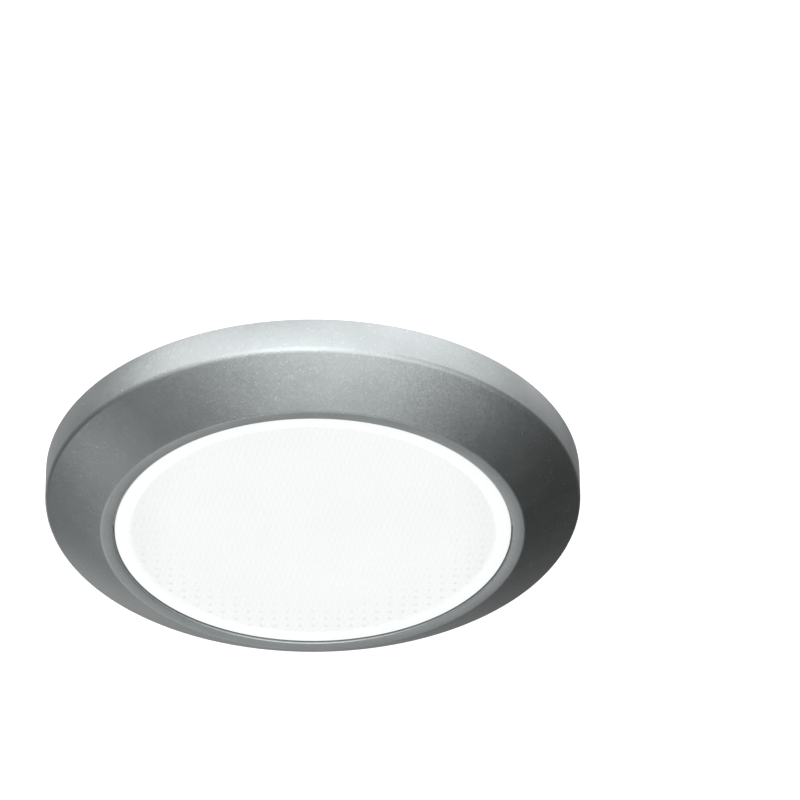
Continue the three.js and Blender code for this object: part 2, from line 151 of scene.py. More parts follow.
class Graph:
    """The nodes of one material or world."""

    def __init__(self, owner: Union[bpy.types.Material, bpy.types.World]) -> None:
        """Empties the owner's node tree.

        Args:
            owner: The material or world that the nodes belong to.
        """
        owner.use_nodes = True
        self.owner = owner
        self.tree = owner.node_tree
        self.tree.nodes.clear()

    @classmethod
    def material(cls, name: str) -> "Graph":
        """Starts an empty material of that name."""
        return cls(bpy.data.materials.new(name))

    def node(
        self,
        kind: str,
        settings: Mapping[str, object] | None = None,
        inputs: Mapping[Union[str, int], object] | None = None,
        output: Union[str, int] = 0,
    ) -> Value:
        """Adds any node.

        Args:
            kind: The node's type.
            settings: The node's own settings, set first. A colour ramp's are its "stops".
            inputs: The value or link of each input socket, by name or number.
            output: The output that is wanted, by name or number.

        Returns:
            The wanted output.
        """
        made = self.tree.nodes.new(kind)
        for key, value in (settings or {}).items():
            if key == "stops":
                self.set_stops(made, value)
            else:
                setattr(made, key, value)
        for key, value in (inputs or {}).items():
            if isinstance(value, Value):
                self.tree.links.new(value.socket, made.inputs[key])
            else:
                made.inputs[key].default_value = value
        return Value(self, made.outputs[output] if len(made.outputs) else None)

    @staticmethod
    def set_stops(ramp: bpy.types.Node, stops: Sequence[tuple[float, float]]) -> None:
        """Sets a colour ramp's stops.

        Args:
            ramp: The colour ramp node.
            stops: Each stop's place and grey level.
        """
        while len(ramp.color_ramp.elements) < len(stops):
            ramp.color_ramp.elements.new(0.5)
        for element, (place, grey) in zip(ramp.color_ramp.elements, stops):
            element.position = place
            element.color = (grey, grey, grey, 1.0)

    def place(self) -> Value:
        """Returns the Object coordinates."""
        return self.node("ShaderNodeTexCoord", output="Object")

    def axes(self, vector: Value) -> tuple[Value, ...]:
        """Splits a vector into its three parts."""
        split = self.node("ShaderNodeSeparateXYZ", inputs={0: vector}).socket.node
        return tuple(Value(self, split.outputs[index]) for index in range(3))

    def vector(
        self,
        operation: str,
        *parts: object,
        output: Union[str, int] = 0,
        scale: Number = 1.0,
    ) -> Value:
        """Adds a Vector Math node.

        Args:
            operation: The node's operation.
            parts: Its vectors.
            output: The output that is wanted.
            scale: The factor that the SCALE operation uses.

        Returns:
            The wanted output.
        """
        inputs: dict[Union[str, int], object] = dict(enumerate(parts))
        if operation == "SCALE":
            inputs["Scale"] = scale
        return self.node("ShaderNodeVectorMath", {"operation": operation}, inputs, output)

    def noise(self, size: float, detail: float = 2.0, stretch: Spot = (1.0, 1.0, 1.0)) -> Value:
        """Adds soft noise.

        Args:
            size: The size of a patch, in metres.
            detail: How much fine detail it has.
            stretch: How much finer the pattern is along each axis.

        Returns:
            The noise, from 0 to 1.
        """
        where = self.vector("MULTIPLY", self.place(), stretch)
        inputs = {"Vector": where, "Scale": 1 / size, "Detail": detail}
        return self.node("ShaderNodeTexNoise", inputs=inputs)

    def blend(self, factor: Number, first: object, second: object) -> Value:
        """Mixes two colours.

        Args:
            factor: 0 gives the first colour and 1 the second.
            first: A colour or a link.
            second: A colour or a link.

        Returns:
            The mixed colour.
        """
        solid = [(*c, 1.0) if isinstance(c, tuple) else c for c in (first, second)]
        inputs = {"Factor": factor, 6: solid[0], 7: solid[1]}
        return self.node("ShaderNodeMix", {"data_type": "RGBA"}, inputs, 2)

    def relief(self, height: Value, depth: float, under: Value | None = None) -> Value:
        """Adds a Bump node.

        Args:
            height: The relief, from 0 to 1.
            depth: How deep the relief is, in metres.
            under: A normal that the relief is added to.

        Returns:
            The bumped normal.
        """
        inputs: dict[str, object] = {"Height": height, "Distance": depth, "Strength": 1.0}
        if under is not None:
            inputs["Normal"] = under
        return self.node("ShaderNodeBump", inputs=inputs)

    def skin(self, sockets: Mapping[Union[str, int], object]) -> bpy.types.Material:
        """Finishes a material with one Principled shader.

        Args:
            sockets: The value or link of each of its sockets.

        Returns:
            The material.
        """
        solid = {key: (*v, 1.0) if isinstance(v, tuple) else v for key, v in sockets.items()}
        shader = self.node("ShaderNodeBsdfPrincipled", inputs=solid)
        self.node("ShaderNodeOutputMaterial", inputs={"Surface": shader})
        return self.owner


# ------------------------------------------------------------------------------ finishes


@dataclass(frozen=True)
class FlakePaint:
    """Silver paint full of fine metal flakes, each lying at its own slight angle."""

    name: str = "silver_flake_paint"
    colour: Colour = (0.482, 0.514, 0.518)
    roughness: float = 0.33
    flake_size: float = 0.34 * MM
    flake_tilt: float = 0.075
    glint_from: float = 0.94
    glint_share: float = 0.35
    glint_gain: float = 1.5
    glint_lacquer: float = 0.05
    glint_polish: float = 0.08
    cloud_size: float = 9 * MM
    cloud_gain: float = 0.95
    cloud_edges: tuple[float, float] = (0.35, 0.65)
    cloud_roughness: float = 0.04
    peel_size: float = 1.8 * MM
    peel_depth: float = 0.0015 * MM
    coat: float = 0.25
    coat_roughness: float = 0.12

    def material(self) -> bpy.types.Material:
        """Builds the paint.

        Returns:
            The material.
        """
        graph = Graph.material(self.name)
        cells = {"Vector": graph.place(), "Scale": 1 / self.flake_size}
        flake = graph.node("ShaderNodeTexVoronoi", inputs=cells, output="Color")
        spread = graph.vector("SUBTRACT", flake, (0.5, 0.5, 0.5))
        lean = graph.vector("SCALE", spread, scale=self.flake_tilt)
        facing = graph.node("ShaderNodeNewGeometry", output="Normal")
        leaning = graph.vector("NORMALIZE", graph.vector("ADD", facing, lean))
        glint = graph.axes(flake)[0].step(self.glint_from, 1.0)
        cloud = graph.noise(self.cloud_size, FINE_DETAIL)
        dim = shaded(self.colour, self.cloud_gain)
        cloudy = graph.blend(cloud.step(*self.cloud_edges), dim, self.colour)
        pale = shaded(self.colour, self.glint_gain)
        return graph.skin({
            "Base Color": graph.blend(glint * self.glint_share, cloudy, pale),
            "Metallic": 1.0 - glint * self.glint_lacquer,
            "Roughness": self.roughness + cloud * self.cloud_roughness - glint * self.glint_polish,
            "Normal": graph.relief(graph.noise(self.peel_size, 1.0), self.peel_depth, leaning),
            "Coat Weight": self.coat,
            "Coat Roughness": self.coat_roughness,
        })


@dataclass(frozen=True)
class LitLens:
    """Frosted lens, lit from behind: a smooth bright rim round a field of fine crossed prisms."""

    name: str = "lit_frosted_lens"
    colour: Colour = (0.28, 0.285, 0.285)
    glow: Colour = (0.985, 1.0, 0.995)
    strength: float = 0.67
    refraction: float = 1.5
    radius: float = 59.2 * MM
    edge: tuple[float, float] = (-0.3 * MM, -0.1 * MM)
    edge_dim: float = 0.75
    field_radius: float = 54.4 * MM
    field_edge: tuple[float, float] = (-0.8 * MM, 0.6 * MM)
    field_dim: float = 0.04
    rib_pitch: float = 1.7 * MM
    rib_depth: float = 0.05 * MM
    rib_dim: float = 0.014
    lean: float = math.radians(13)
    dot_pitch: float = 3.9 * MM
    dots_from: float = 34 * MM
    dot_dim: float = 0.03
    low_dots: tuple[float, float] = (-12 * MM, 36 * MM)
    low_dot_dim: float = 0.20
    dot_sharpness: float = 5.0
    cloud_size: float = 26 * MM
    cloud_dim: float = 0.06
    sides_from: float = 40 * MM
    side_dim: float = 0.06
    rim_roughness: float = 0.22
    field_roughness: float = 0.16

    def material(self) -> bpy.types.Material:
        """Builds the lens's finish.

        Returns:
            The material.
        """
        graph = Graph.material(self.name)
        across, _, up = graph.axes(graph.place())
        rows = across * math.cos(self.lean) + up * math.sin(self.lean)
        waves = ((rows, self.rib_pitch), (across, self.dot_pitch), (up, self.dot_pitch))
        rib, dot_x, dot_y = (
            (place * (2 * math.pi / pitch)).maths("COSINE") * 0.5 + 0.5 for place, pitch in waves
        )
        radius = (across * across + up * up) ** 0.5
        inside = 1.0 - radius.step(*(self.field_radius + edge for edge in self.field_edge))
        near_edge = radius.step(self.dots_from, self.field_radius)
        low = (up * -1.0).step(*self.low_dots)
        sideways = across.maths("ABSOLUTE").step(self.sides_from, self.field_radius)
        dots = (dot_x * dot_y) ** self.dot_sharpness
        spread = graph.noise(self.cloud_size, 1.0)
        shade = self.field_dim + dots * near_edge * (self.dot_dim + low * self.low_dot_dim)
        shade = shade + rib * self.rib_dim + spread * self.cloud_dim + sideways * self.side_dim
        lit = 1.0 - radius.step(*(self.radius + edge for edge in self.edge)) * self.edge_dim
        level = lit * (1.0 - inside * shade)
        return graph.skin({
            "Base Color": self.colour,
            "Roughness": self.rim_roughness + inside * self.field_roughness,
            "Normal": graph.relief(rib * inside, self.rib_depth),
            "Emission Color": graph.blend(level, (0.0, 0.0, 0.0), self.glow),
            "Emission Strength": self.strength,
            "IOR": self.refraction,
        })


@dataclass(frozen=True)
class Plastic:
    """Moulded plastic with a fine spark-eroded grain and faint flow marks."""

    name: str
    colour: Colour
    roughness: float = 0.48
    grain: float = 0.30 * MM
    depth: float = 0.02 * MM
    flow_size: float = 14 * MM
    flow_stretch: Spot = (1.0, 1.0, 0.4)
    flow_gain: float = 0.86
    flow_edges: tuple[float, float] = (0.3, 0.7)
    flow_polish: float = 0.05
    grain_roughness: float = 0.12

    def material(self) -> bpy.types.Material:
        """Builds the plastic.

        Returns:
            The material.
        """
        graph = Graph.material(self.name)
        grain = graph.noise(self.grain, FINE_DETAIL)
        flow = graph.noise(self.flow_size, 2.0, self.flow_stretch)
        dull = shaded(self.colour, self.flow_gain)
        return graph.skin({
            "Base Color": graph.blend(flow.step(*self.flow_edges), self.colour, dull),
            "Roughness": self.roughness + grain * self.grain_roughness - flow * self.flow_polish,
            "Normal": graph.relief(grain, self.depth),
        })


@dataclass(frozen=True)
class Rubber:
    """Matt silicone with a dusty bloom."""

    name: str = "silicone_rubber"
    colour: Colour = (0.035, 0.036, 0.04)
    roughness: float = 0.68
    dust: Colour = (0.13, 0.13, 0.135)
    dust_size: float = 2.5 * MM
    dust_detail: float = 4.0
    dust_edges: tuple[float, float] = (0.45, 0.75)
    dust_share: float = 0.35
    dust_roughness: float = 0.2
    grain: float = 0.2 * MM
    depth: float = 0.015 * MM

    def material(self) -> bpy.types.Material:
        """Builds the rubber.

        Returns:
            The material.
        """
        graph = Graph.material(self.name)
        bloom = graph.noise(self.dust_size, self.dust_detail).step(*self.dust_edges)
        return graph.skin({
            "Base Color": graph.blend(bloom * self.dust_share, self.colour, self.dust),
            "Roughness": self.roughness + bloom * self.dust_roughness,
            "Normal": graph.relief(graph.noise(self.grain, 2.0), self.depth),
        })


@dataclass(frozen=True)
class Metal:
    """Bare metal with tool marks that are drawn out along one axis."""

    name: str
    colour: Colour
    roughness: float = 0.26
    streak: Spot = (1.0, 12.0, 1.0)
    mark_size: float = 0.8 * MM
    mark_depth: float = 0.012 * MM
    stain_size: float = 5 * MM
    stain_gain: float = 0.78
    stain_edges: tuple[float, float] = (0.4, 0.8)
    stain_roughness: float = 0.06
    mark_roughness: float = 0.14

    def material(self) -> bpy.types.Material:
        """Builds the metal.

        Returns:
            The material.
        """
        graph = Graph.material(self.name)
        marks = graph.noise(self.mark_size, FINE_DETAIL, self.streak)
        stain = graph.noise(self.stain_size, FINE_DETAIL)
        marred = marks * self.mark_roughness + stain * self.stain_roughness
        dull = shaded(self.colour, self.stain_gain)
        return graph.skin({
            "Base Color": graph.blend(stain.step(*self.stain_edges), self.colour, dull),
            "Metallic": 1.0,
            "Roughness": self.roughness + marred,
            "Normal": graph.relief(marks, self.mark_depth),
        })


@dataclass(frozen=True)
class SolderMask:
    """White lacquer over copper tracks that run round the board in rings."""

    name: str = "white_solder_mask"
    lacquer: Colour = (0.86, 0.87, 0.85)
    over_copper: Colour = (0.80, 0.80, 0.74)
    track_pitch: float = 6.5 * MM
    track_start: tuple[float, float] = (0.30, 0.34)
    track_end: tuple[float, float] = (0.72, 0.76)
    track_depth: float = 0.03 * MM
    roughness: float = 0.30
    smear_size: float = 1.5 * MM
    smear_roughness: float = 0.12

    def material(self) -> bpy.types.Material:
        """Builds the board's finish.

        Returns:
            The material.
        """
        graph = Graph.material(self.name)
        across, _, up = graph.axes(graph.place())
        radius = (across * across + up * up) ** 0.5
        ring = (radius / self.track_pitch).maths("FRACT")
        track = ring.step(*self.track_start) * (1.0 - ring.step(*self.track_end))
        return graph.skin({
            "Base Color": graph.blend(track, self.lacquer, self.over_copper),
            "Roughness": self.roughness + graph.noise(self.smear_size) * self.smear_roughness,
            "Normal": graph.relief(track, self.track_depth),
        })


@dataclass(frozen=True)
class Emitter:
    """The speckled face of a surface-mounted emitter, which glows."""

    name: str
    colour: Colour
    glow: Colour
    strength: float
    speck_size: float = 0.35 * MM
    speck_gain: float = 1.2
    speck_glow: float = 0.3
    roughness: float = 0.25
    speck_roughness: float = 0.2

    def material(self) -> bpy.types.Material:
        """Builds the emitter's finish.

        Returns:
            The material.
        """
        graph = Graph.material(self.name)
        speck = graph.noise(self.speck_size, FINE_DETAIL)
        pale = shaded(self.colour, self.speck_gain)
        return graph.skin({
            "Base Color": graph.blend(speck, self.colour, pale),
            "Roughness": self.roughness + speck * self.speck_roughness,
            "Emission Color": graph.blend(speck * self.speck_glow, self.glow, (1.0, 1.0, 1.0)),
            "Emission Strength": self.strength,
        })


@dataclass(frozen=True)
class Paper:
    """The studio's pale floor: nearly white, with a faint fibre."""

    name: str = "pale_floor"
    colour: Colour = (0.90, 0.90, 0.90)
    roughness: float = 0.9
    fibre_size: float = 40 * MM
    fibre_gain: float = 0.99

    def material(self) -> bpy.types.Material:
        """Builds the floor's finish.

        Returns:
            The material.
        """
        graph = Graph.material(self.name)
        fibre = graph.noise(self.fibre_size, 2.0)
        mixed = graph.blend(fibre, self.colour, shaded(self.colour, self.fibre_gain))
        return graph.skin({"Base Color": mixed, "Roughness": self.roughness})


class Finish(Enum):
    """The finishes of the light's own pieces."""

    SILVER_PAINT = FlakePaint()
    LENS = LitLens()
    HOUSING = Plastic("off_white_plastic", (0.50, 0.515, 0.50))
    BRACKET = Plastic("grey_plastic", (0.22, 0.23, 0.235))
    CLAMP = Plastic("glass_filled_plastic", (0.16, 0.165, 0.17), 0.55, 0.5 * MM, 0.03 * MM)
    NYLON = Plastic("black_nylon", (0.022, 0.023, 0.025), 0.40)
    WASHER = Plastic("natural_nylon", (0.66, 0.665, 0.64), 0.35)
    EPOXY = Plastic("moulded_epoxy", (0.02, 0.02, 0.022), 0.55, 0.15 * MM, 0.01 * MM)
    REFLECTOR = Plastic("reflective_sheet", (0.88, 0.89, 0.89), 0.30, 0.8 * MM, 0.006 * MM)
    SILICONE = Rubber()
    STAINLESS = Metal("turned_stainless", (0.60, 0.605, 0.61))
    ALUMINIUM = Metal("rolled_aluminium", (0.68, 0.69, 0.70), 0.32, (14.0, 1.0, 1.0))
    BOARD = SolderMask()
    WHITE_LED = Emitter("white_emitter", (0.82, 0.68, 0.22), (1.0, 0.95, 0.82), 1.5)
    COLOUR_LED = Emitter("colour_emitter", (0.62, 0.70, 0.74), (0.6, 0.75, 1.0), 0.05)


class Palette:
    """Makes each finish's material once."""

    def __init__(self) -> None:
        """Starts with nothing made."""
        self.made: dict[Finish, bpy.types.Material] = {}

    def get(self, finish: Finish) -> bpy.types.Material:
        """Returns the finish's material, made at its first use."""
        if finish not in self.made:
            self.made[finish] = finish.value.material()
        return self.made[finish]


# ------------------------------------------------------------------------------ workshop


@dataclass(frozen=True)
class Corner:
    """A corner of a turned outline: its radius, its height and its rounding radius."""

    radius: float
    height: float
    rounding: float = 0.0
    steps: int = 4


def mm(*corners: tuple[float, ...]) -> list[Corner]:
    """Reads corners that are given in millimetres as (radius, height, optional rounding)."""
    return [Corner(*(value * MM for value in corner)) for corner in corners]


def metres(*values: float) -> Spot:
    """Reads a place or a size that is given in millimetres."""
    return tuple(value * MM for value in values)


def polar(radius: float, degrees: float, height: float = 0.0) -> Spot:
    """Returns the place at that radius, angle and height."""
    angle = math.radians(degrees)
    return (radius * math.cos(angle), radius * math.sin(angle), height)


def evenly(count: int, start: float = 0.0) -> list[float]:
    """Returns that many angles, in degrees, evenly round a circle."""
    return [start + 360.0 * index / count for index in range(count)]


class Joining(Enum):
    """What a solid is combined for."""

    ADD = "UNION"
    CUT = "DIFFERENCE"
    KEEP_COMMON = "INTERSECT"


class Workshop:
    """The modelling steps that the pieces share. Each leaves the finished mesh in object mode."""

    @staticmethod
    def clear() -> None:
        """Deselects everything."""
        bpy.ops.object.select_all(action="DESELECT")

    @staticmethod
    def pick(*pieces: bpy.types.Object) -> None:
        """Selects some pieces only, and makes the first one active.

        Args:
            pieces: The pieces.
        """
        Workshop.clear()
        for piece in pieces:
            piece.select_set(True)
        bpy.context.view_layer.objects.active = pieces[0]

    @staticmethod
    def edit(piece: bpy.types.Object, select: str = "SELECT") -> None:
        """Opens a piece in edit mode.

        Args:
            piece: The piece.
            select: SELECT to select all of it, or DESELECT to select none of it.
        """
        Workshop.pick(piece)
        bpy.ops.object.mode_set(mode="EDIT")
        bpy.ops.mesh.select_mode(type="EDGE")
        bpy.ops.mesh.select_all(action=select)

    @staticmethod
    def done() -> None:
        """Goes back to object mode."""
        bpy.ops.object.mode_set(mode="OBJECT")

    @staticmethod
    def settle(piece: bpy.types.Object) -> None:
        """Moves a piece's place, turn and size into its mesh."""
        Workshop.pick(piece)
        bpy.ops.object.transform_apply(location=True, rotation=True, scale=True)

    @staticmethod
    def choose_faces(piece: bpy.types.Object, wanted: Callable[[bmesh.types.BMFace], bool]) -> None:
        """Selects faces of the piece that is in edit mode.

        Args:
            piece: The piece.
            wanted: Tells whether a face is selected.
        """
        mesh = bmesh.from_edit_mesh(piece.data)
        for face in mesh.faces:
            face.select_set(wanted(face))
        bmesh.update_edit_mesh(piece.data)

    @staticmethod
    def tidy(piece: bpy.types.Object) -> None:
        """Merges doubled vertices and points the faces outwards.

        Args:
            piece: The piece.
        """
        Workshop.edit(piece)
        bpy.ops.mesh.remove_doubles(threshold=WELD)
        bpy.ops.mesh.normals_make_consistent(inside=False)
        Workshop.done()

    @staticmethod
    def round_ring(piece: bpy.types.Object, corners: Sequence[Corner], index: int) -> None:
        """Rounds one ring of a turned piece.

        Args:
            piece: The turned piece, before any other corner near this one is cut.
            corners: The outline's corners.
            index: Which corner is rounded.
        """
        corner = corners[index]
        here = Vector((corner.radius, corner.height))
        before = Vector((corners[index - 1].radius, corners[index - 1].height)) - here
        after_corner = corners[(index + 1) % len(corners)]
        after = Vector((after_corner.radius, after_corner.height)) - here
        setback = corner.rounding / math.tan(before.angle(after) / 2)
        Workshop.edit(piece, "DESELECT")
        mesh = bmesh.from_edit_mesh(piece.data)
        for edge in mesh.edges:
            rings = (Vector((vertex.co.xy.length, vertex.co.z)) for vertex in edge.verts)
            edge.select_set(all((ring - here).length < 2 * WELD for ring in rings))
        bmesh.update_edit_mesh(piece.data)
        bpy.ops.mesh.bevel(
            offset=setback, offset_type="OFFSET", segments=corner.steps, affect="EDGES"
        )
        Workshop.done()

    @staticmethod
    def turned(name: str, corners: Sequence[Corner], steps: int = RING_STEPS) -> bpy.types.Object:
        """Turns a solid, ring by ring.

        Args:
            name: The piece's name.
            corners: The outline. It either starts and ends on the axis, or closes on itself.
            steps: How many sides the rings have.

        Returns:
            The piece.
        """
        on_axis = corners[0].radius == 0
        rings = list(corners[1:-1]) if on_axis else [*corners, corners[0]]
        first = rings[0]
        Workshop.clear()
        fill = "TRIFAN" if on_axis else "NOTHING"
        bpy.ops.mesh.primitive_circle_add(
            vertices=steps, radius=first.radius, location=(0, 0, first.height), fill_type=fill
        )
        piece = bpy.context.object
        piece.name = name
        Workshop.settle(piece)
        Workshop.edit(piece)
        extrude = bpy.ops.mesh.extrude_region_move if on_axis else bpy.ops.mesh.extrude_edges_move
        for before, ring in zip(rings, rings[1:]):
            rise = ring.height - before.height
            extrude(TRANSFORM_OT_translate={"value": (0, 0, rise)})
            grow = ring.radius / before.radius
            bpy.ops.transform.resize(value=(grow, grow, 1), center_override=(0, 0, ring.height))
        Workshop.done()
        Workshop.tidy(piece)
        for index, corner in enumerate(corners):
            if corner.rounding:
                Workshop.round_ring(piece, corners, index)
        return piece

    @staticmethod
    def rod(
        name: str,
        radius: float,
        low: float,
        high: float,
        at: Spot = (0, 0, 0),
        steps: int = SMALL_STEPS,
    ) -> bpy.types.Object:
        """Turns a plain rod.

        Args:
            name: The piece's name.
            radius: Its radius.
            low: The height of its lower end.
            high: The height of its upper end.
            at: Where its axis stands.
            steps: How many sides it has.

        Returns:
            The piece.
        """
        outline = [Corner(0, low), Corner(radius, low), Corner(radius, high), Corner(0, high)]
        piece = Workshop.turned(name, outline, steps)
        piece.location = at
        Workshop.settle(piece)
        return piece

    @staticmethod
    def drill(name: str, radius: float, low: float, high: float, circle: float) -> bpy.types.Object:
        """Makes the cutter for a hole, from sizes in millimetres.

        Args:
            name: The cutter's name.
            radius: The hole's radius.
            low: The height of its lower end, which the cutter runs past.
            high: The height of its upper end, which the cutter runs past.
            circle: How far its axis is from the light's.

        Returns:
            The cutter.
        """
        low_end, high_end = (low - OVERRUN) * MM, (high + OVERRUN) * MM
        return Workshop.rod(name, radius * MM, low_end, high_end, (circle * MM, 0, 0))

    @staticmethod
    def prism(
        name: str,
        sides: int,
        across_flats: float,
        low: float,
        high: float,
    ) -> bpy.types.Object:
        """Makes a prism with softened edges, such as a hexagon for a spanner.

        Args:
            name: The piece's name.
            sides: How many sides it has.
            across_flats: Its width from flat to flat.
            low: The height of its lower end.
            high: The height of its upper end.

        Returns:
            The piece.
        """
        Workshop.clear()
        radius = across_flats / 2 / math.cos(math.pi / sides)
        bpy.ops.mesh.primitive_cylinder_add(
            vertices=sides, radius=radius, depth=high - low, location=(0, 0, (low + high) / 2)
        )
        piece = bpy.context.object
        piece.name = name
        Workshop.settle(piece)
        Workshop.soften(piece, EDGE_WIDTH, EDGE_STEPS)
        return piece

    @staticmethod
    def block(
        name: str,
        size: Spot,
        at: Spot,
        turn: float = 0.0,
        taper: float = 1.0,
    ) -> bpy.types.Object:
        """Makes a block.

        Args:
            name: The piece's name.
            size: Its width, depth and height.
            at: Its centre, before it is turned about the light's axis.
            turn: How far it is turned about the light's axis, in degrees.
            taper: How much narrower its lower face is.

        Returns:
            The piece.
        """
        Workshop.clear()
        bpy.ops.mesh.primitive_cube_add(size=1, location=at)
        piece = bpy.context.object
        piece.name = name
        piece.scale = size
        Workshop.settle(piece)
        if taper != 1.0:
            Workshop.edit(piece, "DESELECT")
            Workshop.choose_faces(piece, lambda face: face.normal.z < -FLAT)
            bpy.ops.transform.resize(value=(taper, taper, 1), center_override=at)
            Workshop.done()
        Workshop.turn(piece, turn)
        return piece

    @staticmethod
    def sector(
        name: str,
        corners: Sequence[Corner],
        middle: float,
        span: float,
    ) -> bpy.types.Object:
        """Turns a ring and cuts all but one sector away.

        Args:
            name: The piece's name.
            corners: The ring's closed outline.
            middle: The angle of the sector's middle, in degrees.
            span: The sector's span, under 180 degrees.

        Returns:
            The sector.
        """
        piece = Workshop.turned(name, corners, INNER_STEPS)
        for side in (-1, 1):
            cut = math.radians(middle + side * span / 2)
            normal = (-side * math.sin(cut), side * math.cos(cut), 0)
            Workshop.edit(piece)
            bpy.ops.mesh.bisect(
                plane_co=(0, 0, 0), plane_no=normal, use_fill=True, clear_outer=True
            )
            Workshop.done()
        return piece

    @staticmethod
    def turn(piece: bpy.types.Object, degrees: float) -> None:
        """Turns a piece about the light's axis by an angle in degrees."""
        piece.rotation_euler = (0, 0, math.radians(degrees))
        Workshop.settle(piece)

    @staticmethod
    def copied(piece: bpy.types.Object, name: str, at: Spot, turn: float) -> bpy.types.Object:
        """Copies a piece with its own mesh.

        Args:
            piece: The piece that is copied.
            name: The copy's name.
            at: How far the copy is moved.
            turn: How far it is turned first, in degrees.

        Returns:
            The copy.
        """
        Workshop.pick(piece)
        bpy.ops.object.duplicate(linked=False)
        copy = bpy.context.object
        copy.name = name
        copy.location = at
        copy.rotation_euler = (0, 0, math.radians(turn))
        Workshop.settle(copy)
        return copy

    @staticmethod
    def ringed(piece: bpy.types.Object, angles: Sequence[float]) -> list[bpy.types.Object]:
        """Copies a piece round the light's axis, and uses the piece itself up.

        Args:
            piece: The piece, as it stands at angle 0.
            angles: The copies' angles, in degrees.

        Returns:
            The copies.
        """
        copies = [
            Workshop.copied(piece, f"{piece.name}_{index}", (0, 0, 0), angle)
            for index, angle in enumerate(angles)
        ]
        bpy.data.objects.remove(piece, do_unlink=True)
        return copies

    @staticmethod
    def join(pieces: Sequence[bpy.types.Object]) -> bpy.types.Object:
        """Joins pieces into the first one, as one mesh of several closed bodies.

        Args:
            pieces: The pieces.

        Returns:
            The first piece.
        """
        Workshop.pick(*pieces)
        bpy.ops.object.join()
        return pieces[0]

    @staticmethod
    def combine(
        piece: bpy.types.Object,
        others: Sequence[bpy.types.Object],
        operation: Joining,
    ) -> bpy.types.Object:
        """Adds other solids to a piece, or cuts them out of it.

        Args:
            piece: The piece that is kept.
            others: The solids that are used up.
            operation: What is done with them.

        Returns:
            The piece.
        """
        tool = Workshop.join(list(others)) if len(others) > 1 else others[0]
        modifier = piece.modifiers.new("combine", "BOOLEAN")
        modifier.operation = operation.value
        modifier.object = tool
        modifier.solver = "EXACT"
        modifier.use_self = len(others) > 1 and operation is Joining.ADD
        Workshop.pick(piece)
        bpy.ops.object.modifier_apply(modifier=modifier.name)
        bpy.data.objects.remove(tool, do_unlink=True)
        return piece

    @staticmethod
    def soften(piece: bpy.types.Object, width: float, segments: int = 2, angle: float = 40) -> None:
        """Rounds every sharp edge of a piece.

        Args:
            piece: The piece.
            width: How wide the rounding is.
            segments: How many steps it has.
            angle: How sharp an edge must be, in degrees.
        """
        modifier = piece.modifiers.new("soften", "BEVEL")
        modifier.width = width
        modifier.segments = segments
        modifier.limit_method = "ANGLE"
        modifier.angle_limit = math.radians(angle)
        Workshop.pick(piece)
        bpy.ops.object.modifier_apply(modifier=modifier.name)

    @staticmethod
    def thread(
        name: str,
        radius: float,
        depth: float,
        pitch: float,
        low: float,
        turns: int,
    ) -> bpy.types.Object:
        """Winds a screw thread.

        Args:
            name: The piece's name.
            radius: The radius of the shank that the thread stands on.
            depth: How far the thread stands out.
            pitch: How far it rises in a turn.
            low: The height where it starts.
            turns: How many turns it makes.

        Returns:
            The thread, closed at both ends.
        """
        Workshop.clear()
        bpy.ops.mesh.primitive_circle_add(
            vertices=3,
            radius=depth,
            location=(radius, 0, low),
            rotation=(math.pi / 2, math.pi / 2, 0),
        )
        piece = bpy.context.object
        piece.name = name
        piece.scale = (1, THREAD_FLATNESS, 1)
        Workshop.settle(piece)
        modifier = piece.modifiers.new("wind", "SCREW")
        modifier.axis = "Z"
        modifier.screw_offset = pitch
        modifier.iterations = turns
        modifier.steps = THREAD_STEPS
        modifier.render_steps = THREAD_STEPS
        bpy.ops.object.modifier_apply(modifier=modifier.name)
        Workshop.edit(piece)
        bpy.ops.mesh.fill_holes(sides=3)
        Workshop.done()
        Workshop.tidy(piece)
        return piece


@dataclass
class Fitter:
    """Dresses pieces and hands them to the frame."""

    palette: Palette

    def fit(
        self,
        piece: bpy.types.Object,
        body: str,
        finish: Finish,
        slot: str,
        *nodes: str,
        smooth: float = 32,
    ) -> None:
        """Turns a piece onto the wall, shades it, dresses it and ties it to its body.

        Args:
            piece: The finished piece, in the light's own frame.
            body: The body that it rides on.
            finish: Its finish.
            slot: The record's material slot for the piece. Not used.
            nodes: The CAD nodes that it stands for.
            smooth: Edges flatter than this many degrees are shaded smooth.
        """
        piece.rotation_euler = (math.pi / 2, 0, 0)
        Workshop.settle(piece)
        Workshop.tidy(piece)
        Workshop.pick(piece)
        bpy.ops.object.shade_smooth_by_angle(angle=math.radians(smooth))
        piece.data.materials.clear()
        piece.data.materials.append(self.palette.get(finish))
        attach(piece, body)
        if nodes:
            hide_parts(*nodes)
        log.info("%s: %d faces, on %s", piece.name, len(piece.data.polygons), body)

    def dress(self, nodes: Iterable[str], finish: Finish) -> None:
        """Gives CAD nodes a finish.

        Args:
            nodes: The names of the nodes.
            finish: Their finish.
        """
        for name in nodes:
            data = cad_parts[name].data
            data.materials.clear()
            data.materials.append(self.palette.get(finish))
            log.info("%s: dressed as %s", name, finish.name)


# ------------------------------------------------------------------------------ sub-assemblies


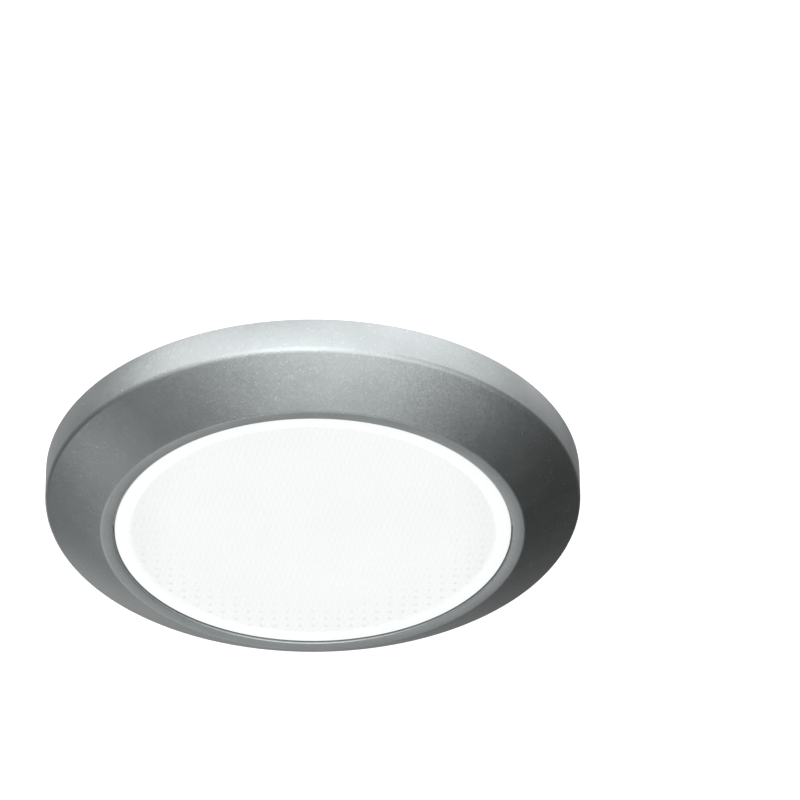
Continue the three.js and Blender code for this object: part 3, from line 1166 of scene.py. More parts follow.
@dataclass
class TrimRing:
    """The silver snap-on ring: side wall, rounded crease, cone and the flat ring round the lens."""

    fitter: Fitter
    radius: float = 80
    foot: float = 0.3
    foot_round: float = 0.3
    wall: float = 2.2
    crease: float = 11
    crease_round: float = 2.0
    face: float = 21.2
    face_outer: float = 63.2
    face_inner: float = 59.55
    face_round: float = 1.6
    lip: float = 2.8
    lip_round: float = 0.25
    inner_round: float = 1.2
    clips: int = 6
    clip_inner: float = 76.75
    clip_root: float = 0.8
    clip_width: float = 3
    clip_height: float = 7.2
    clip_middle: float = 5.1

    def build(self) -> None:
        """Builds the ring with its clips."""
        slope = (self.face - self.crease) / (self.radius - self.face_outer)
        below = self.wall * math.hypot(1, slope)
        side_inner = self.radius - self.wall
        lip_base = self.face - self.lip
        lip_outer = self.face_outer + (self.face - below - lip_base) / slope
        side_top = self.face - below - slope * (side_inner - self.face_outer)
        ring = Workshop.turned("trim_ring_painted", mm(
            (side_inner, self.foot, self.foot_round),
            (self.radius, self.foot, self.foot_round),
            (self.radius, self.crease, self.crease_round),
            (self.face_outer, self.face, self.face_round),
            (self.face_inner, self.face, self.lip_round),
            (self.face_inner, lip_base, self.lip_round),
            (lip_outer, lip_base),
            (side_inner, side_top, self.inner_round),
        ))
        Workshop.combine(ring, self.clip_blocks(side_inner), Joining.ADD)
        self.fitter.fit(ring, "trim", Finish.SILVER_PAINT, "silver_paint", "trim_ring")

    def clip_blocks(self, side_inner: float) -> list[bpy.types.Object]:
        """Makes the snap clips.

        Args:
            side_inner: The radius of the side wall's inner face.

        Returns:
            The clips, whose roots run into the side wall.
        """
        length = side_inner - self.clip_inner + self.clip_root
        size = metres(length, self.clip_width, self.clip_height)
        at = metres(self.clip_inner + length / 2, 0, self.clip_middle)
        clip = Workshop.block("trim_clip", size, at)
        Workshop.soften(clip, self.lip_round * MM)
        return Workshop.ringed(clip, evenly(self.clips))


@dataclass
class Lens:
    """The frosted lens: a hat-shaped moulding with a smooth rim and a sunk field of fine ribs."""

    fitter: Fitter
    radius: float = 59.2
    front: float = 20.7
    edge_round: float = 0.6
    thickness: float = 2.5
    skirt: float = 1.9
    flange_radius: float = 65.8
    flange_top: float = 14.4
    flange_thickness: float = 1.8
    small_round: float = 0.2
    field_radius: float = 54.4
    field_sink: float = 0.35
    field_slope: float = 0.4
    rib_pitch: float = 1.7
    rib_rise: float = 0.15
    rib_root: float = 0.4
    rib_crest: float = 0.25
    rib_lean: float = 13
    rib_share: float = 0.98
    rib_reach: float = 2.1
    disc_margin: float = 0.1

    def build(self) -> None:
        """Builds the moulding and its ribbed field."""
        base = self.flange_top - self.flange_thickness
        ceiling = self.front - self.thickness
        skirt_inner = self.radius - self.skirt
        floor = self.front - self.field_sink
        lens = Workshop.turned("lens_moulding", mm(
            (0, ceiling),
            (skirt_inner, ceiling, self.edge_round),
            (skirt_inner, base, self.small_round),
            (self.flange_radius, base, self.small_round),
            (self.flange_radius, self.flange_top, self.small_round),
            (self.radius, self.flange_top),
            (self.radius, self.front, self.edge_round),
            (self.field_radius + self.field_slope, self.front, self.small_round),
            (self.field_radius, floor),
            (0, floor),
        ))
        self.fitter.fit(lens, "lamp", Finish.LENS, "lens", "lens")
        self.fitter.fit(self.ribs(floor), "lamp", Finish.LENS, "lens")

    def ribs(self, floor: float) -> bpy.types.Object:
        """Makes the field's ribs.

        Args:
            floor: The height of the field that they stand on, in millimetres.

        Returns:
            The ribs, trimmed to the field's circle.
        """
        pitch = self.rib_pitch * MM
        count = 2 * math.ceil(self.field_radius / self.rib_pitch) + 1
        reach = self.field_radius * MM
        middle = (floor - self.rib_root / 2) * MM
        size = (self.rib_share * pitch, self.rib_reach * reach, self.rib_root * MM)
        rib = Workshop.block("lens_ribs", size, (0, 0, middle))
        Workshop.edit(rib, "DESELECT")
        Workshop.choose_faces(rib, lambda face: face.normal.z > FLAT)
        rise = (0, 0, self.rib_rise * MM)
        bpy.ops.mesh.extrude_region_move(TRANSFORM_OT_translate={"value": rise})
        bpy.ops.transform.resize(value=(self.rib_crest, 1, 1), center_override=(0, 0, middle))
        Workshop.done()
        row = rib.modifiers.new("row", "ARRAY")
        row.count = count
        row.use_relative_offset = False
        row.use_constant_offset = True
        row.constant_offset_displace = (pitch, 0, 0)
        Workshop.pick(rib)
        bpy.ops.object.modifier_apply(modifier=row.name)
        rib.location = (-pitch * (count - 1) / 2, 0, 0)
        Workshop.settle(rib)
        Workshop.turn(rib, -self.rib_lean)
        bottom = (floor - self.rib_root + self.disc_margin) * MM
        inside = reach - self.small_round * MM
        disc = Workshop.rod("field_disc", inside, bottom, self.front * MM, steps=RING_STEPS)
        return Workshop.combine(rib, [disc], Joining.KEEP_COMMON)


@dataclass
class Screw:
    """A pan-head screw with a cross recess and a wound thread, in millimetres."""

    head: float
    head_height: float
    shank: float
    length: float
    pitch: float
    depth: float
    tip: float
    blunt: float = 0.12
    neck: float = 0.6
    runout: float = 1.5
    head_edge: float = 0.2
    head_side: float = 0.55
    head_flat: float = 0.6
    head_curve: float = 0.3
    recess_length: float = 1.15
    recess_width: float = 0.26
    recess_taper: float = 0.55

    def build(self, name: str) -> bpy.types.Object:
        """Builds the screw with its head on height 0 and its shank pointing down.

        Args:
            name: The piece's name.

        Returns:
            The screw.
        """
        core = self.shank - self.depth
        screw = Workshop.turned(name, mm(
            (0, -self.length),
            (max(self.blunt, core - self.tip / 2), -self.length),
            (core, self.tip - self.length),
            (core, -self.neck),
            (self.shank, -self.neck / 2),
            (self.shank, 0),
            (self.head, 0, self.head_edge),
            (self.head, self.head_height * self.head_side, self.head_height * self.head_curve),
            (self.head * self.head_flat, self.head_height, self.head * self.head_curve),
            (0, self.head_height),
        ), SMALL_STEPS)
        Workshop.combine(screw, [self.recess(name)], Joining.CUT)
        turns = int((self.length - self.tip - self.runout) / self.pitch)
        start = (self.tip - self.length) * MM
        thread = Workshop.thread(
            f"{name}_thread", core * MM, self.depth * MM, self.pitch * MM, start, turns
        )
        return Workshop.join([screw, thread])

    def recess(self, name: str) -> bpy.types.Object:
        """Makes the cutter for the cross recess.

        Args:
            name: The screw's name.

        Returns:
            The cutter, narrower at the bottom.
        """
        length, width = self.head * self.recess_length, self.head * self.recess_width
        size = metres(length, width, self.head_height)
        top = (0, 0, self.head_height * MM)
        first, second = (
            Workshop.block(f"{name}_cut_{turn}", size, top, turn, self.recess_taper)
            for turn in (0, 90)
        )
        return Workshop.combine(first, [second], Joining.ADD)


@dataclass
class WallBracket:
    """The moulded wall bracket: a ring plate with three bayonet hooks and three screws."""

    fitter: Fitter
    radius: float = 64
    thickness: float = 2.5
    edge_round: float = 0.3
    front_round: float = 0.6
    hole: float = 22
    collar: float = 2.2
    collar_rise: float = 1.0
    screw_circle: float = 45
    screw_hole: float = 2.6
    bayonets: int = 3
    hook_span: float = 18
    hook_inner: float = 55.5
    hook_post: float = 60.5
    hook_outer: float = 63
    hook_top: float = 6
    hook_lip: float = 1.6
    hook_rounds: Spot = (0.5, 0.4, 0.3)
    root: float = 0.8
    stop_span: float = 2.5
    stop_lap: float = 0.25
    stop_insets: Spot = (0.5, 0.2, 0.1)
    hook_start: float = 90
    screw_start: float = 30
    rib_start: float = 15
    rib_count: int = 12
    rib_at: Spot = (34, 0, 2.7)
    rib_size: Spot = (22, 1.2, 1.0)
    pin_marks: int = 6
    pin_circle: float = 56
    pin_radius: float = 2.4
    pin_depth: float = 0.18
    groove_radii: tuple[float, ...] = (27, 50.6)
    groove_width: float = 1.0
    groove_depth: float = 0.5
    screw: Screw = field(default_factory=lambda: Screw(4, 2.4, 2.1, 26, 1.5, 0.45, 4))

    def build(self) -> None:
        """Builds the bracket and its screws."""
        collar_top = self.thickness + self.collar_rise
        plate = Workshop.turned("wall_bracket_moulded", mm(
            (self.hole, 0, self.edge_round),
            (self.radius, 0, self.edge_round),
            (self.radius, self.thickness, self.front_round),
            (self.hole + self.collar, self.thickness),
            (self.hole + self.collar, collar_top, self.edge_round),
            (self.hole, collar_top, self.edge_round),
        ), INNER_STEPS)
        Workshop.combine(plate, self.hooks() + self.ribs(), Joining.ADD)
        Workshop.combine(plate, self.holes() + self.mould_marks(), Joining.CUT)
        self.fitter.fit(plate, "bracket", Finish.BRACKET, "bracket_plastic", "wall_bracket")
        screw = self.screw.build("bracket_screw_pattern")
        for index, angle in enumerate(evenly(self.bayonets, self.screw_start)):
            spot = polar(self.screw_circle * MM, angle, self.thickness * MM + CLEARANCE)
            copy = Workshop.copied(screw, f"bracket_screw_threaded_{index + 1}", spot, angle)
            node = f"bracket_screw_{index + 1}"
            self.fitter.fit(copy, "bracket", Finish.STAINLESS, "stainless", node)
        bpy.data.objects.remove(screw, do_unlink=True)

    def hooks(self) -> list[bpy.types.Object]:
        """Makes the bayonet hooks, each with a web at one end that stops the turn.

        Returns:
            The hooks and their stops.
        """
        root = self.thickness - self.root
        lip_base = self.hook_top - self.hook_lip
        outer_round, inner_round, small_round = self.hook_rounds
        hook = mm(
            (self.hook_post, root),
            (self.hook_outer, root),
            (self.hook_outer, self.hook_top, outer_round),
            (self.hook_inner, self.hook_top, inner_round),
            (self.hook_inner, lip_base, small_round),
            (self.hook_post, lip_base),
        )
        from_inner, from_outer, from_top = self.stop_insets
        inner = self.hook_inner + from_inner
        outer = self.hook_outer - from_outer
        top = self.hook_top - from_top
        stop = mm(
            (inner, root), (outer, root), (outer, top, small_round), (inner, top, small_round)
        )
        end = -self.hook_span / 2 - self.stop_lap
        angles = evenly(self.bayonets, self.hook_start)
        return [
            *Workshop.ringed(Workshop.sector("hook", hook, 0, self.hook_span), angles),
            *Workshop.ringed(Workshop.sector("hook_stop", stop, end, self.stop_span), angles),
        ]

    def ribs(self) -> list[bpy.types.Object]:
        """Makes the low ribs that stiffen the plate.

        Returns:
            The ribs.
        """
        rib = Workshop.block("bracket_rib", metres(*self.rib_size), metres(*self.rib_at))
        return Workshop.ringed(rib, evenly(self.rib_count, self.rib_start))

    def holes(self) -> list[bpy.types.Object]:
        """Makes the cutters for the screw holes.

        Returns:
            The cutters.
        """
        hole = Workshop.drill("hole", self.screw_hole, 0, self.thickness, self.screw_circle)
        return Workshop.ringed(hole, evenly(self.bayonets, self.screw_start))

    def mould_marks(self) -> list[bpy.types.Object]:
        """Makes the cutters for the back face's ejector pin marks and grooves.

        Returns:
            The cutters.
        """
        depth = self.pin_depth - OVERRUN
        pin = Workshop.drill("pin_mark", self.pin_radius, 0, depth, self.pin_circle)
        made = Workshop.ringed(pin, evenly(self.pin_marks))
        for inner in self.groove_radii:
            outer = inner + self.groove_width
            low, high = -OVERRUN, self.groove_depth
            outline = mm((inner, low), (outer, low), (outer, high), (inner, high))
            made.append(Workshop.turned(f"groove_{inner:.0f}", outline, INNER_STEPS))
        return made


@dataclass
class BackHousing:
    """The dish behind the lens, with the lens seat, the gland boss and three bayonet feet."""

    fitter: Fitter
    back: float = 6.5
    floor: float = 8.5
    radius: float = 76.4
    edge_round: float = 0.6
    small_round: float = 0.3
    bore: float = 8.3
    boss: float = 13.5
    boss_back: float = 3.4
    seat_inner: float = 60
    seat_outer: float = 66
    seat_top: float = 10.4
    bayonets: int = 3
    foot_span: float = 15
    foot_inner: float = 50.5
    foot_neck: float = 3
    foot_outer: float = 59.8
    foot_base: float = 2.9
    foot_thickness: float = 1.1
    foot_root: float = 0.7
    foot_start: float = 90
    gusset_count: int = 6
    gusset_start: float = 30
    gusset_size: Spot = (7, 1.4, 2.2)
    gusset_at: Spot = (16, 0, 5.9)
    hole_radius: float = 1.7
    clamp_circle: float = 70.5
    clamp_holes: int = 8
    clamp_start: float = 22.5
    board_circle: float = 49
    board_holes: int = 3
    board_start: float = 60
    blind_base: float = 7.1

    def build(self) -> None:
        """Builds the dish."""
        dish = Workshop.turned("back_housing_moulded", mm(
            (self.bore, self.boss_back, self.small_round),
            (self.boss, self.boss_back, self.small_round),
            (self.boss, self.back),
            (self.radius, self.back, self.edge_round),
            (self.radius, self.floor, self.edge_round),
            (self.seat_outer, self.floor),
            (self.seat_outer, self.seat_top, self.small_round),
            (self.seat_inner, self.seat_top, self.small_round),
            (self.seat_inner, self.floor),
            (self.bore, self.floor, self.small_round),
        ), INNER_STEPS)
        Workshop.combine(dish, self.feet() + self.gussets(), Joining.ADD)
        Workshop.combine(dish, self.holes(), Joining.CUT)
        self.fitter.fit(dish, "lamp", Finish.HOUSING, "housing_plastic", "back_housing")

    def feet(self) -> list[bpy.types.Object]:
        """Makes the bayonet feet.

        Returns:
            The feet, whose necks run into the dish.
        """
        neck = self.foot_inner + self.foot_neck
        top = self.foot_base + self.foot_thickness
        root = self.back + self.foot_root
        section = mm(
            (self.foot_inner, self.foot_base, self.small_round),
            (self.foot_outer, self.foot_base, self.small_round),
            (self.foot_outer, top, self.small_round),
            (neck, top),
            (neck, root),
            (self.foot_inner, root),
        )
        foot = Workshop.sector("foot", section, 0, self.foot_span)
        return Workshop.ringed(foot, evenly(self.bayonets, self.foot_start))

    def gussets(self) -> list[bpy.types.Object]:
        """Makes the ribs that brace the boss.

        Returns:
            The ribs.
        """
        gusset = Workshop.block("gusset", metres(*self.gusset_size), metres(*self.gusset_at))
        return Workshop.ringed(gusset, evenly(self.gusset_count, self.gusset_start))

    def holes(self) -> list[bpy.types.Object]:
        """Makes the cutters for the clamp screws' holes and the board screws' blind ones.

        Returns:
            The cutters.
        """
        radius = self.hole_radius
        through = Workshop.drill("clamp_hole", radius, self.back, self.floor, self.clamp_circle)
        low = self.blind_base + OVERRUN
        blind = Workshop.drill("board_hole", radius, low, self.floor, self.board_circle)
        return [
            *Workshop.ringed(through, evenly(self.clamp_holes, self.clamp_start)),
            *Workshop.ringed(blind, evenly(self.board_holes, self.board_start)),
        ]


@dataclass
class LensClamp:
    """The gasket, and the ring that eight screws draw down on the lens's flange."""

    fitter: Fitter
    gasket_radii: tuple[float, ...] = (60.8, 62.2, 63.1, 64.0, 65.4)
    gasket_heights: tuple[float, ...] = (10.75, 12.25)
    gasket_groove: float = 0.25
    base: float = 8.8
    flange_top: float = 10.8
    outer: float = 74
    riser_inner: float = 66.3
    riser_outer: float = 68.1
    inner: float = 59.8
    lip_base: float = 14.7
    top: float = 16
    chamfer: float = 1.6
    bend: float = 1.0
    edge_round: float = 0.4
    screws: int = 8
    screw_circle: float = 70.5
    hole_radius: float = 1.7
    web_size: Spot = (4.2, 1.2, 1.6)
    web_at: Spot = (69.6, 0, 11.2)
    webs_per_screw: int = 3
    web_start: float = 7.5
    screw_start: float = 22.5
    screw: Screw = field(default_factory=lambda: Screw(2.4, 1.3, 1.4, 3.9, 0.6, 0.25, 0.6))

    def build(self) -> None:
        """Builds the gasket, the ring and its screws."""
        self.fitter.fit(self.gasket(), "lamp", Finish.SILICONE, "silicone", "lens_gasket")
        ring = Workshop.turned("lens_clamp_moulded", mm(
            (self.riser_inner, self.base),
            (self.outer, self.base, self.edge_round),
            (self.outer, self.flange_top, self.edge_round),
            (self.riser_outer, self.flange_top),
            (self.riser_outer, self.top - self.chamfer, self.edge_round),
            (self.riser_inner - self.bend, self.top, self.edge_round),
            (self.inner, self.top, self.edge_round),
            (self.inner, self.lip_base, self.edge_round / 2),
            (self.riser_inner, self.lip_base),
        ), INNER_STEPS)
        Workshop.combine(ring, self.webs(), Joining.ADD)
        Workshop.combine(ring, self.holes(), Joining.CUT)
        self.fitter.fit(ring, "lamp", Finish.CLAMP, "clamp_plastic", "lens_clamp_ring")
        screw = self.screw.build("clamp_screw_pattern")
        for index, angle in enumerate(evenly(self.screws, self.screw_start)):
            spot = polar(self.screw_circle * MM, angle, self.flange_top * MM + CLEARANCE)
            copy = Workshop.copied(screw, f"clamp_screw_threaded_{index + 1}", spot, angle)
            self.fitter.fit(copy, "lamp", Finish.STAINLESS, "stainless", f"clamp_screw_{index + 1}")
        bpy.data.objects.remove(screw, do_unlink=True)

    def gasket(self) -> bpy.types.Object:
        """Makes the gasket, with a shallow groove along each face.

        Returns:
            The gasket.
        """
        low, high = self.gasket_heights
        inner, rise, middle, fall, outer = self.gasket_radii
        groove = self.gasket_groove
        edge = self.edge_round / 2
        return Workshop.turned("lens_gasket_ribbed", mm(
            (inner, low, edge), (rise, low), (middle, low + groove), (fall, low),
            (outer, low, edge), (outer, high, edge),
            (fall, high), (middle, high - groove), (rise, high), (inner, high, edge),
        ), INNER_STEPS)

    def holes(self) -> list[bpy.types.Object]:
        """Makes the cutters for the screw holes.

        Returns:
            The cutters.
        """
        hole = Workshop.drill(
            "clamp_cut", self.hole_radius, self.base, self.flange_top, self.screw_circle
        )
        return Workshop.ringed(hole, evenly(self.screws, self.screw_start))

    def webs(self) -> list[bpy.types.Object]:
        """Makes the small webs that stiffen the ring between its screws.

        Returns:
            The webs.
        """
        steps = evenly(self.screws * self.webs_per_screw, self.web_start)
        clear = [angle for index, angle in enumerate(steps) if index % self.webs_per_screw != 1]
        web = Workshop.block("clamp_web", metres(*self.web_size), metres(*self.web_at))
        return Workshop.ringed(web, clear)


@dataclass
class CableGland:
    """The gland behind the housing: body, o-ring, seal, slip washer and cap nut."""

    fitter: Fitter
    bore: float = 4
    thread_radius: float = 8
    thread_core: float = 7.85
    thread_depth: float = 0.30
    thread_pitch: float = 1.5
    thread_low: float = -10.8
    thread_turns: int = 5
    hexagon: float = 24
    hex_base: float = -2.6
    hex_top: float = 1.3
    end: float = -11.5
    sleeve_top: float = 8.1
    pocket_radius: float = 6.3
    pocket_top: float = -6.5
    ring_radius: float = 9.65
    ring_cord: float = 0.9
    ring_height: float = 2.35
    ring_steps: int = 20
    parting_from: float = 0.9
    parting_width: float = 0.05
    parting_depth: float = 0.02
    seal_bore: float = 3.5
    seal_radius: float = 6.0
    seal_taper: float = 1.2
    seal_base: float = -13.0
    seal_top: float = -6.8
    seal_groove: float = 0.3
    washer_bore: float = 4.2
    washer_low: float = -14.3
    washer_high: float = -13.3
    washer_round: float = 0.21
    nut_body: float = 11.6
    nut_top: float = -3.4
    nut_neck: float = -11.1
    nut_end: float = -17.2
    nut_hex_base: float = -9.9
    nut_inside: float = 8.5
    nut_inside_end: float = -14.6
    nut_hole: float = 4.6
    nut_rounds: Spot = (1.2, 2.4, 0.4)
    hex_sink: float = 0.1
    grip_count: int = 24
    grip_radius: float = 0.55
    grip_circle: float = 11.75
    grip_top: float = -10.4
    small_round: float = 0.3

    def build(self) -> None:
        """Builds the gland's pieces."""
        self.build_body()
        self.build_ring()
        self.build_seal()
        self.build_washer()
        self.build_nut()

    def rod(self, name: str, radius: float, low: float, high: float) -> bpy.types.Object:
        """Turns a rod on the gland's axis, from sizes in millimetres."""
        return Workshop.rod(name, radius * MM, low * MM, high * MM, steps=PART_STEPS)

    def build_body(self) -> None:
        """Builds the threaded body with its hexagon."""
        across = self.hexagon * MM
        low, high = self.hex_base * MM, self.hex_top * MM
        body = Workshop.prism("gland_body_moulded", HEXAGON, across, low, high)
        stem = self.rod("gland_stem", self.thread_radius, self.end, self.sleeve_top)
        Workshop.soften(stem, self.small_round * MM)
        Workshop.combine(body, [stem], Joining.ADD)
        bore = self.rod("gland_bore", self.bore, -FAR, FAR)
        pocket = self.rod("gland_pocket", self.pocket_radius, -FAR, self.pocket_top)
        Workshop.combine(bore, [pocket], Joining.ADD)
        Workshop.combine(body, [bore], Joining.CUT)
        thread = Workshop.thread(
            "gland_thread",
            self.thread_core * MM,
            self.thread_depth * MM,
            self.thread_pitch * MM,
            self.thread_low * MM,
            self.thread_turns,
        )
        body = Workshop.join([body, thread])
        self.fitter.fit(body, "lamp", Finish.NYLON, "gland_plastic", "gland_body")

    def build_ring(self) -> None:
        """Builds the o-ring, with the fine parting line round its rim."""
        Workshop.clear()
        bpy.ops.mesh.primitive_torus_add(
            major_radius=self.ring_radius * MM,
            minor_radius=self.ring_cord * MM,
            major_segments=PART_STEPS,
            minor_segments=self.ring_steps,
            location=(0, 0, self.ring_height * MM),
        )
        ring = bpy.context.object
        ring.name = "gland_o_ring_smooth"
        Workshop.settle(ring)
        Workshop.edit(ring, "DESELECT")
        rim = (self.ring_radius + self.parting_from * self.ring_cord) * MM
        Workshop.choose_faces(ring, lambda face: face.calc_center_median().xy.length > rim)
        bpy.ops.mesh.inset(thickness=self.parting_width * MM, depth=self.parting_depth * MM)
        Workshop.done()
        self.fitter.fit(ring, "lamp", Finish.SILICONE, "silicone", "gland_o_ring")

    def build_seal(self) -> None:
        """Builds the cable seal, with a groove round its middle."""
        edge = self.small_round
        tapered = self.seal_base + self.seal_taper + edge
        waist = self.seal_radius - self.seal_groove
        middle = (tapered + self.seal_top) / 2
        seal = Workshop.turned("gland_seal_tapered", mm(
            (self.seal_bore, self.seal_base, edge),
            (self.seal_radius - self.seal_taper, self.seal_base, edge),
            (self.seal_radius, tapered, edge),
            (self.seal_radius, middle - 2 * edge),
            (waist, middle - edge),
            (waist, middle + edge),
            (self.seal_radius, middle + 2 * edge),
            (self.seal_radius, self.seal_top, edge),
            (self.seal_bore, self.seal_top, edge),
        ), PART_STEPS)
        self.fitter.fit(seal, "lamp", Finish.SILICONE, "silicone", "gland_seal")

    def build_washer(self) -> None:
        """Builds the slip washer."""
        edge = self.washer_round
        washer = Workshop.turned("gland_washer_smooth", mm(
            (self.washer_bore, self.washer_low, edge),
            (self.thread_radius, self.washer_low, edge),
            (self.thread_radius, self.washer_high, edge),
            (self.washer_bore, self.washer_high, edge),
        ), PART_STEPS)
        slot, node = "washer_plastic", "gland_slip_washer"
        self.fitter.fit(washer, "gland_washer", Finish.WASHER, slot, node)

    def build_nut(self) -> None:
        """Builds the cap nut with its hexagon and its fluted grip."""
        across = self.hexagon * MM
        low, high = self.nut_hex_base * MM, (self.nut_top - self.hex_sink) * MM
        nut = Workshop.prism("gland_nut_moulded", HEXAGON, across, low, high)
        end_round, neck_round, top_round = self.nut_rounds
        dome = Workshop.turned("gland_dome", mm(
            (0, self.nut_end),
            (self.thread_radius, self.nut_end, end_round),
            (self.nut_body, self.nut_neck, neck_round),
            (self.nut_body, self.nut_top, top_round),
            (0, self.nut_top),
        ), PART_STEPS)
        Workshop.combine(nut, [dome], Joining.ADD)
        inside = self.rod("nut_inside", self.nut_inside, self.nut_inside_end, 0)
        hole = self.rod("nut_hole", self.nut_hole, -FAR, 0)
        Workshop.combine(inside, [hole], Joining.ADD)
        Workshop.combine(nut, [inside], Joining.CUT)
        top = self.grip_top - OVERRUN
        grip = Workshop.drill("grip", self.grip_radius, self.nut_end, top, self.grip_circle)
        Workshop.combine(nut, Workshop.ringed(grip, evenly(self.grip_count)), Joining.CUT)
        self.fitter.fit(nut, "gland_nut", Finish.NYLON, "gland_plastic", "gland_nut")


@dataclass
class Package:
    """A small electronic part: a moulded body with a dish in it, on legs, in millimetres."""

    width: float
    depth: float
    height: float
    legs: int
    leg_pitch: float
    leg_width: float
    dish: float
    dish_depth: float
    dish_at: tuple[float, float] = (0, 0)
    leg_out: float = 0.3
    leg_height: float = 0.4
    stand_off: float = 0.1
    edge: float = 0.12

    def build(self, name: str, floor: float) -> bpy.types.Object:
        """Builds the part on the light's axis.

        Args:
            name: The piece's name.
            floor: The height that it stands on.

        Returns:
            The part.
        """
        tall = self.height - self.stand_off
        size = metres(self.width - 2 * self.leg_out, self.depth, tall)
        part = Workshop.block(name, size, metres(0, 0, floor + self.stand_off + tall / 2))
        Workshop.soften(part, self.edge * MM)
        Workshop.combine(part, self.leg_bars(name, floor), Joining.ADD)
        top = floor + self.height
        low, high = (top - self.dish_depth) * MM, (top + OVERRUN) * MM
        dish = Workshop.rod(f"{name}_dish", self.dish * MM, low, high, metres(*self.dish_at, 0))
        return Workshop.combine(part, [dish], Joining.CUT)

    def leg_bars(self, name: str, floor: float) -> list[bpy.types.Object]:
        """Makes bars that run right through the body, whose ends are the legs.

        Args:
            name: The piece's name.
            floor: The height that they stand on.

        Returns:
            The bars.
        """
        size = metres(self.width, self.leg_width, self.leg_height)
        first = -self.leg_pitch * (self.legs - 1) / 2
        places = [
            metres(0, first + index * self.leg_pitch, floor + self.leg_height / 2)
            for index in range(self.legs)
        ]
        return [Workshop.block(f"{name}_leg", size, place) for place in places]


@dataclass
class LightEngine:
    """The plate, board and sheet, which keep their CAD shapes, and the parts on the board."""

    fitter: Fitter
    board_top: float = 12.2
    per_ring: int = 12
    inner_circle: float = 24
    outer_circle: float = 37.5
    outer_start: float = 15
    chip_offset: float = 7.6
    screws: int = 3
    screw_circle: float = 49
    screw_start: float = 60
    emitter: Package = field(default_factory=lambda: Package(5, 5, 1.6, 3, 1.65, 0.9, 2.0, 0.45))
    chip: Package = field(
        default_factory=lambda: Package(6.2, 5, 1.7, 4, 1.27, 0.45, 0.45, 0.12, (-1.9, 1.6), 0.7)
    )
    rectifier: Package = field(
        default_factory=lambda: Package(7, 5.4, 2.4, 2, 2.9, 1.1, 0.6, 0.15, (-1.8, 1.6), 0.8)
    )
    screw: Screw = field(default_factory=lambda: Screw(2.7, 1.6, 1.4, 5, 0.6, 0.25, 0.6))

    def build(self) -> None:
        """Dresses the flat pieces and builds the parts on the board."""
        self.fitter.dress(["heat_plate"], Finish.ALUMINIUM)
        self.fitter.dress(["led_board"], Finish.BOARD)
        self.fitter.dress(["reflector_sheet"], Finish.REFLECTOR)
        self.build_emitters()
        self.build_chips()
        self.build_screws()

    def build_emitters(self) -> None:
        """Builds the two rings of emitters, with every second inner one a coloured one."""
        pattern = self.emitter.build("emitter_pattern", self.board_top + CLEARANCE / MM)
        inner = [(self.inner_circle, angle) for angle in evenly(self.per_ring)]
        outer = [(self.outer_circle, angle) for angle in evenly(self.per_ring, self.outer_start)]
        looks = (
            ("white", Finish.WHITE_LED, inner[1::2] + outer),
            ("colour", Finish.COLOUR_LED, inner[0::2]),
        )
        for kind, finish, places in looks:
            for number, (circle, angle) in enumerate(places, 1):
                name = f"emitter_{kind}_dished_{number}"
                copy = Workshop.copied(pattern, name, polar(circle * MM, angle), angle)
                self.fitter.fit(copy, "lamp", finish, f"led_{kind}", f"led_{kind}_{number}")
        bpy.data.objects.remove(pattern, do_unlink=True)

    def build_chips(self) -> None:
        """Builds the control chip and the rectifier."""
        floor = self.board_top + CLEARANCE / MM
        parts = (("control_chip", self.chip, -1), ("rectifier", self.rectifier, 1))
        for node, package, side in parts:
            part = package.build(f"{node}_legged", floor)
            part.location = metres(0, side * self.chip_offset, 0)
            Workshop.settle(part)
            self.fitter.fit(part, "lamp", Finish.EPOXY, "chip_black", node)

    def build_screws(self) -> None:
        """Builds the board's screws."""
        screw = self.screw.build("board_screw_pattern")
        height = self.board_top * MM + CLEARANCE
        for number, angle in enumerate(evenly(self.screws, self.screw_start), 1):
            spot = polar(self.screw_circle * MM, angle, height)
            copy = Workshop.copied(screw, f"board_screw_threaded_{number}", spot, angle)
            self.fitter.fit(copy, "lamp", Finish.STAINLESS, "stainless", f"board_screw_{number}")
        bpy.data.objects.remove(screw, do_unlink=True)


# ------------------------------------------------------------------------------ studio


@dataclass(frozen=True)
class SoftLight:
    """One broad soft light on the studio's dome."""

    towards: Spot
    strength: float
    tightness: float

    def add_to(self, graph: Graph, direction: Value) -> Value:
        """Adds the light to the dome.

        Args:
            graph: The world's graph.
            direction: The direction that is looked in.

        Returns:
            The light's brightness in that direction.
        """
        centre = tuple(Vector(self.towards).normalized())
        facing = graph.vector("DOT_PRODUCT", direction, centre, output="Value")
        return ((facing - 1.0) * self.tightness).maths("EXPONENT") * self.strength


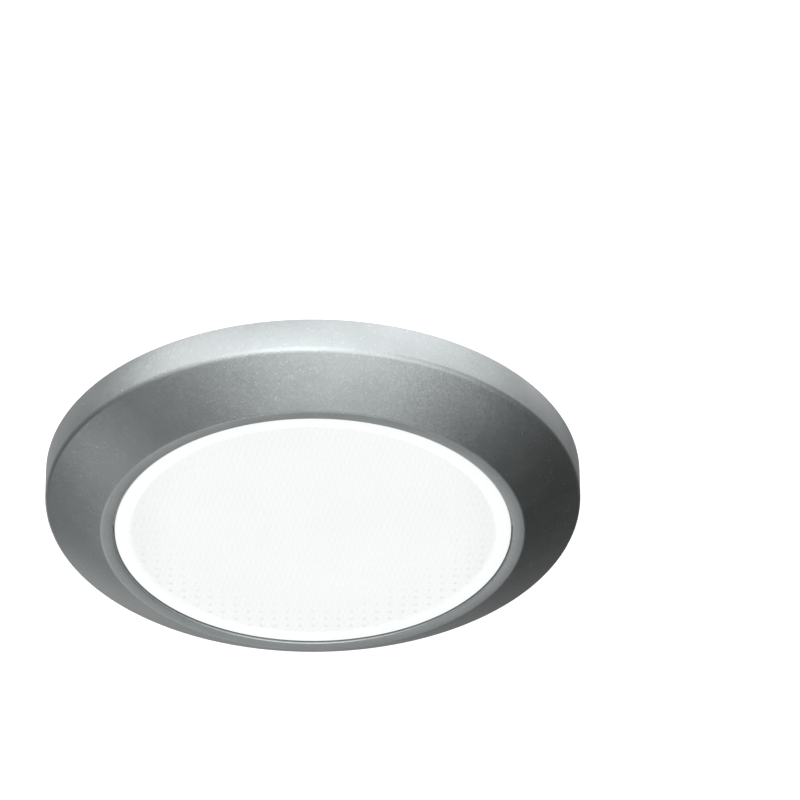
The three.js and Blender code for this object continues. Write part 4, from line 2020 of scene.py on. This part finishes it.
@dataclass
class Studio:
    """The pale floor, the dome of soft light and the camera.

    The lights weren't chosen by hand. A separate program sampled the photo's tones on the silver
    ring and solved for the directions, strengths and tightness, and nine of the fourteen are its
    output unchanged. Four were then adjusted, and one was added. The camera's distance, height,
    focal length and aim also started from a program's fit, to edges in the photo.
    """

    palette: Palette
    floor_drop: float = 0.35
    floor_size: float = 30.0
    background: float = 1.0
    ambient: float = 0.020
    distance: float = 1.739
    elevation: float = 55.27
    focal_length: float = 260.7
    sensor: float = 36.0
    nearest: float = 0.01
    aim: Spot = (0.02612, 0.01876, 0.01300)
    lights: tuple[SoftLight, ...] = (
        SoftLight((-0.18, 0.09, 0.98), 2.13, 3.0),
        SoftLight((-0.10, -0.45, 0.88), 1.10, 40.0),
        SoftLight((0.09, -0.91, 0.39), 1.09, 8.0),
        SoftLight((0.56, -0.54, 0.62), 0.79, 8.0),
        SoftLight((0.54, 0.73, 0.41), 1.15, 8.0),
        SoftLight((0.69, 0.71, 0.11), 0.27, 8.0),
        SoftLight((-0.69, 0.61, 0.38), 0.98, 20.0),
        SoftLight((-0.37, 0.77, -0.52), 0.40, 3.0),
        SoftLight((0.59, 0.71, -0.38), 0.60, 45.0),
        SoftLight((-0.35, 0.29, -0.89), 0.42, 45.0),
        SoftLight((-0.68, -0.58, -0.44), 0.65, 45.0),
        SoftLight((-0.25, -0.54, -0.81), 0.78, 20.0),
        SoftLight((-0.03, -0.12, -0.99), 0.57, 45.0),
        SoftLight((0.04, -0.88, -0.45), 1.20, 45.0),
    )

    def build(self) -> None:
        """Sets up the studio."""
        self.build_floor()
        self.build_dome()
        self.build_camera()
        bpy.context.scene.view_settings.view_transform = "Standard"

    def build_floor(self) -> None:
        """Lays the floor below the light."""
        Workshop.clear()
        bpy.ops.mesh.primitive_plane_add(size=self.floor_size, location=(0, 0, -self.floor_drop))
        floor = bpy.context.object
        floor.name = "pale_floor"
        Workshop.settle(floor)
        floor.data.materials.append(Paper().material())
        floor.visible_glossy = False
        log.info("floor laid %.2f m below the light", self.floor_drop)

    def build_dome(self) -> None:
        """Lights the studio with a dome of broad soft lights, behind a plain pale background."""
        world = bpy.data.worlds.new("soft_studio")
        bpy.context.scene.world = world
        graph = Graph(world)
        direction = graph.node("ShaderNodeTexCoord", output="Generated")
        level: Number = self.ambient
        for light in self.lights:
            level = light.add_to(graph, direction) + level
        seen = graph.node("ShaderNodeLightPath", output="Is Camera Ray")
        plain = level * (1.0 - seen) + seen * self.background
        dome = graph.node("ShaderNodeBackground", inputs={"Color": plain, "Strength": 1.0})
        graph.node("ShaderNodeOutputWorld", inputs={"Surface": dome})
        log.info("dome lit by %d soft lights", len(self.lights))

    def build_camera(self) -> None:
        """Sets the camera above and in front of the light, which sits left of the middle."""
        data = bpy.data.cameras.new("camera")
        data.sensor_width = self.sensor
        data.lens = self.focal_length
        data.clip_start = self.nearest
        camera = bpy.data.objects.new("camera", data)
        bpy.context.scene.collection.objects.link(camera)
        rise = math.radians(self.elevation)
        place = Vector((0, -math.cos(rise), math.sin(rise))) * self.distance
        forward = (Vector(self.aim) - place).normalized()
        right = forward.cross(Vector((0, math.sin(rise), math.cos(rise)))).normalized()
        up = right.cross(forward)
        facing = Matrix((right, up, -forward)).transposed()
        camera.matrix_world = Matrix.Translation(place) @ facing.to_4x4()
        bpy.context.scene.camera = camera
        log.info("camera %.2f m away, at %.1f degrees", self.distance, self.elevation)


def main() -> None:
    """Builds every sub-assembly in order, and then the studio."""
    logging.basicConfig(level=logging.INFO, format="%(name)s: %(message)s")
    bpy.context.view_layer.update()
    palette = Palette()
    fitter = Fitter(palette)
    sub_assemblies = (TrimRing, Lens, LensClamp, BackHousing, WallBracket, CableGland, LightEngine)
    for kind in sub_assemblies:
        kind(fitter).build()
        log.info("%s built", kind.__name__)
    Studio(palette).build()


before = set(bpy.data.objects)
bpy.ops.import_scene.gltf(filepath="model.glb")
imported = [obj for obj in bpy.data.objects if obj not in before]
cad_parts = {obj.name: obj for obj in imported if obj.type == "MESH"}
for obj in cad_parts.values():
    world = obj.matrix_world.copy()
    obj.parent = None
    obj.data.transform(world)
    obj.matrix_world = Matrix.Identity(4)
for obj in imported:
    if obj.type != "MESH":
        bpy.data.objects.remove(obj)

if __name__ == "__main__":
    main()
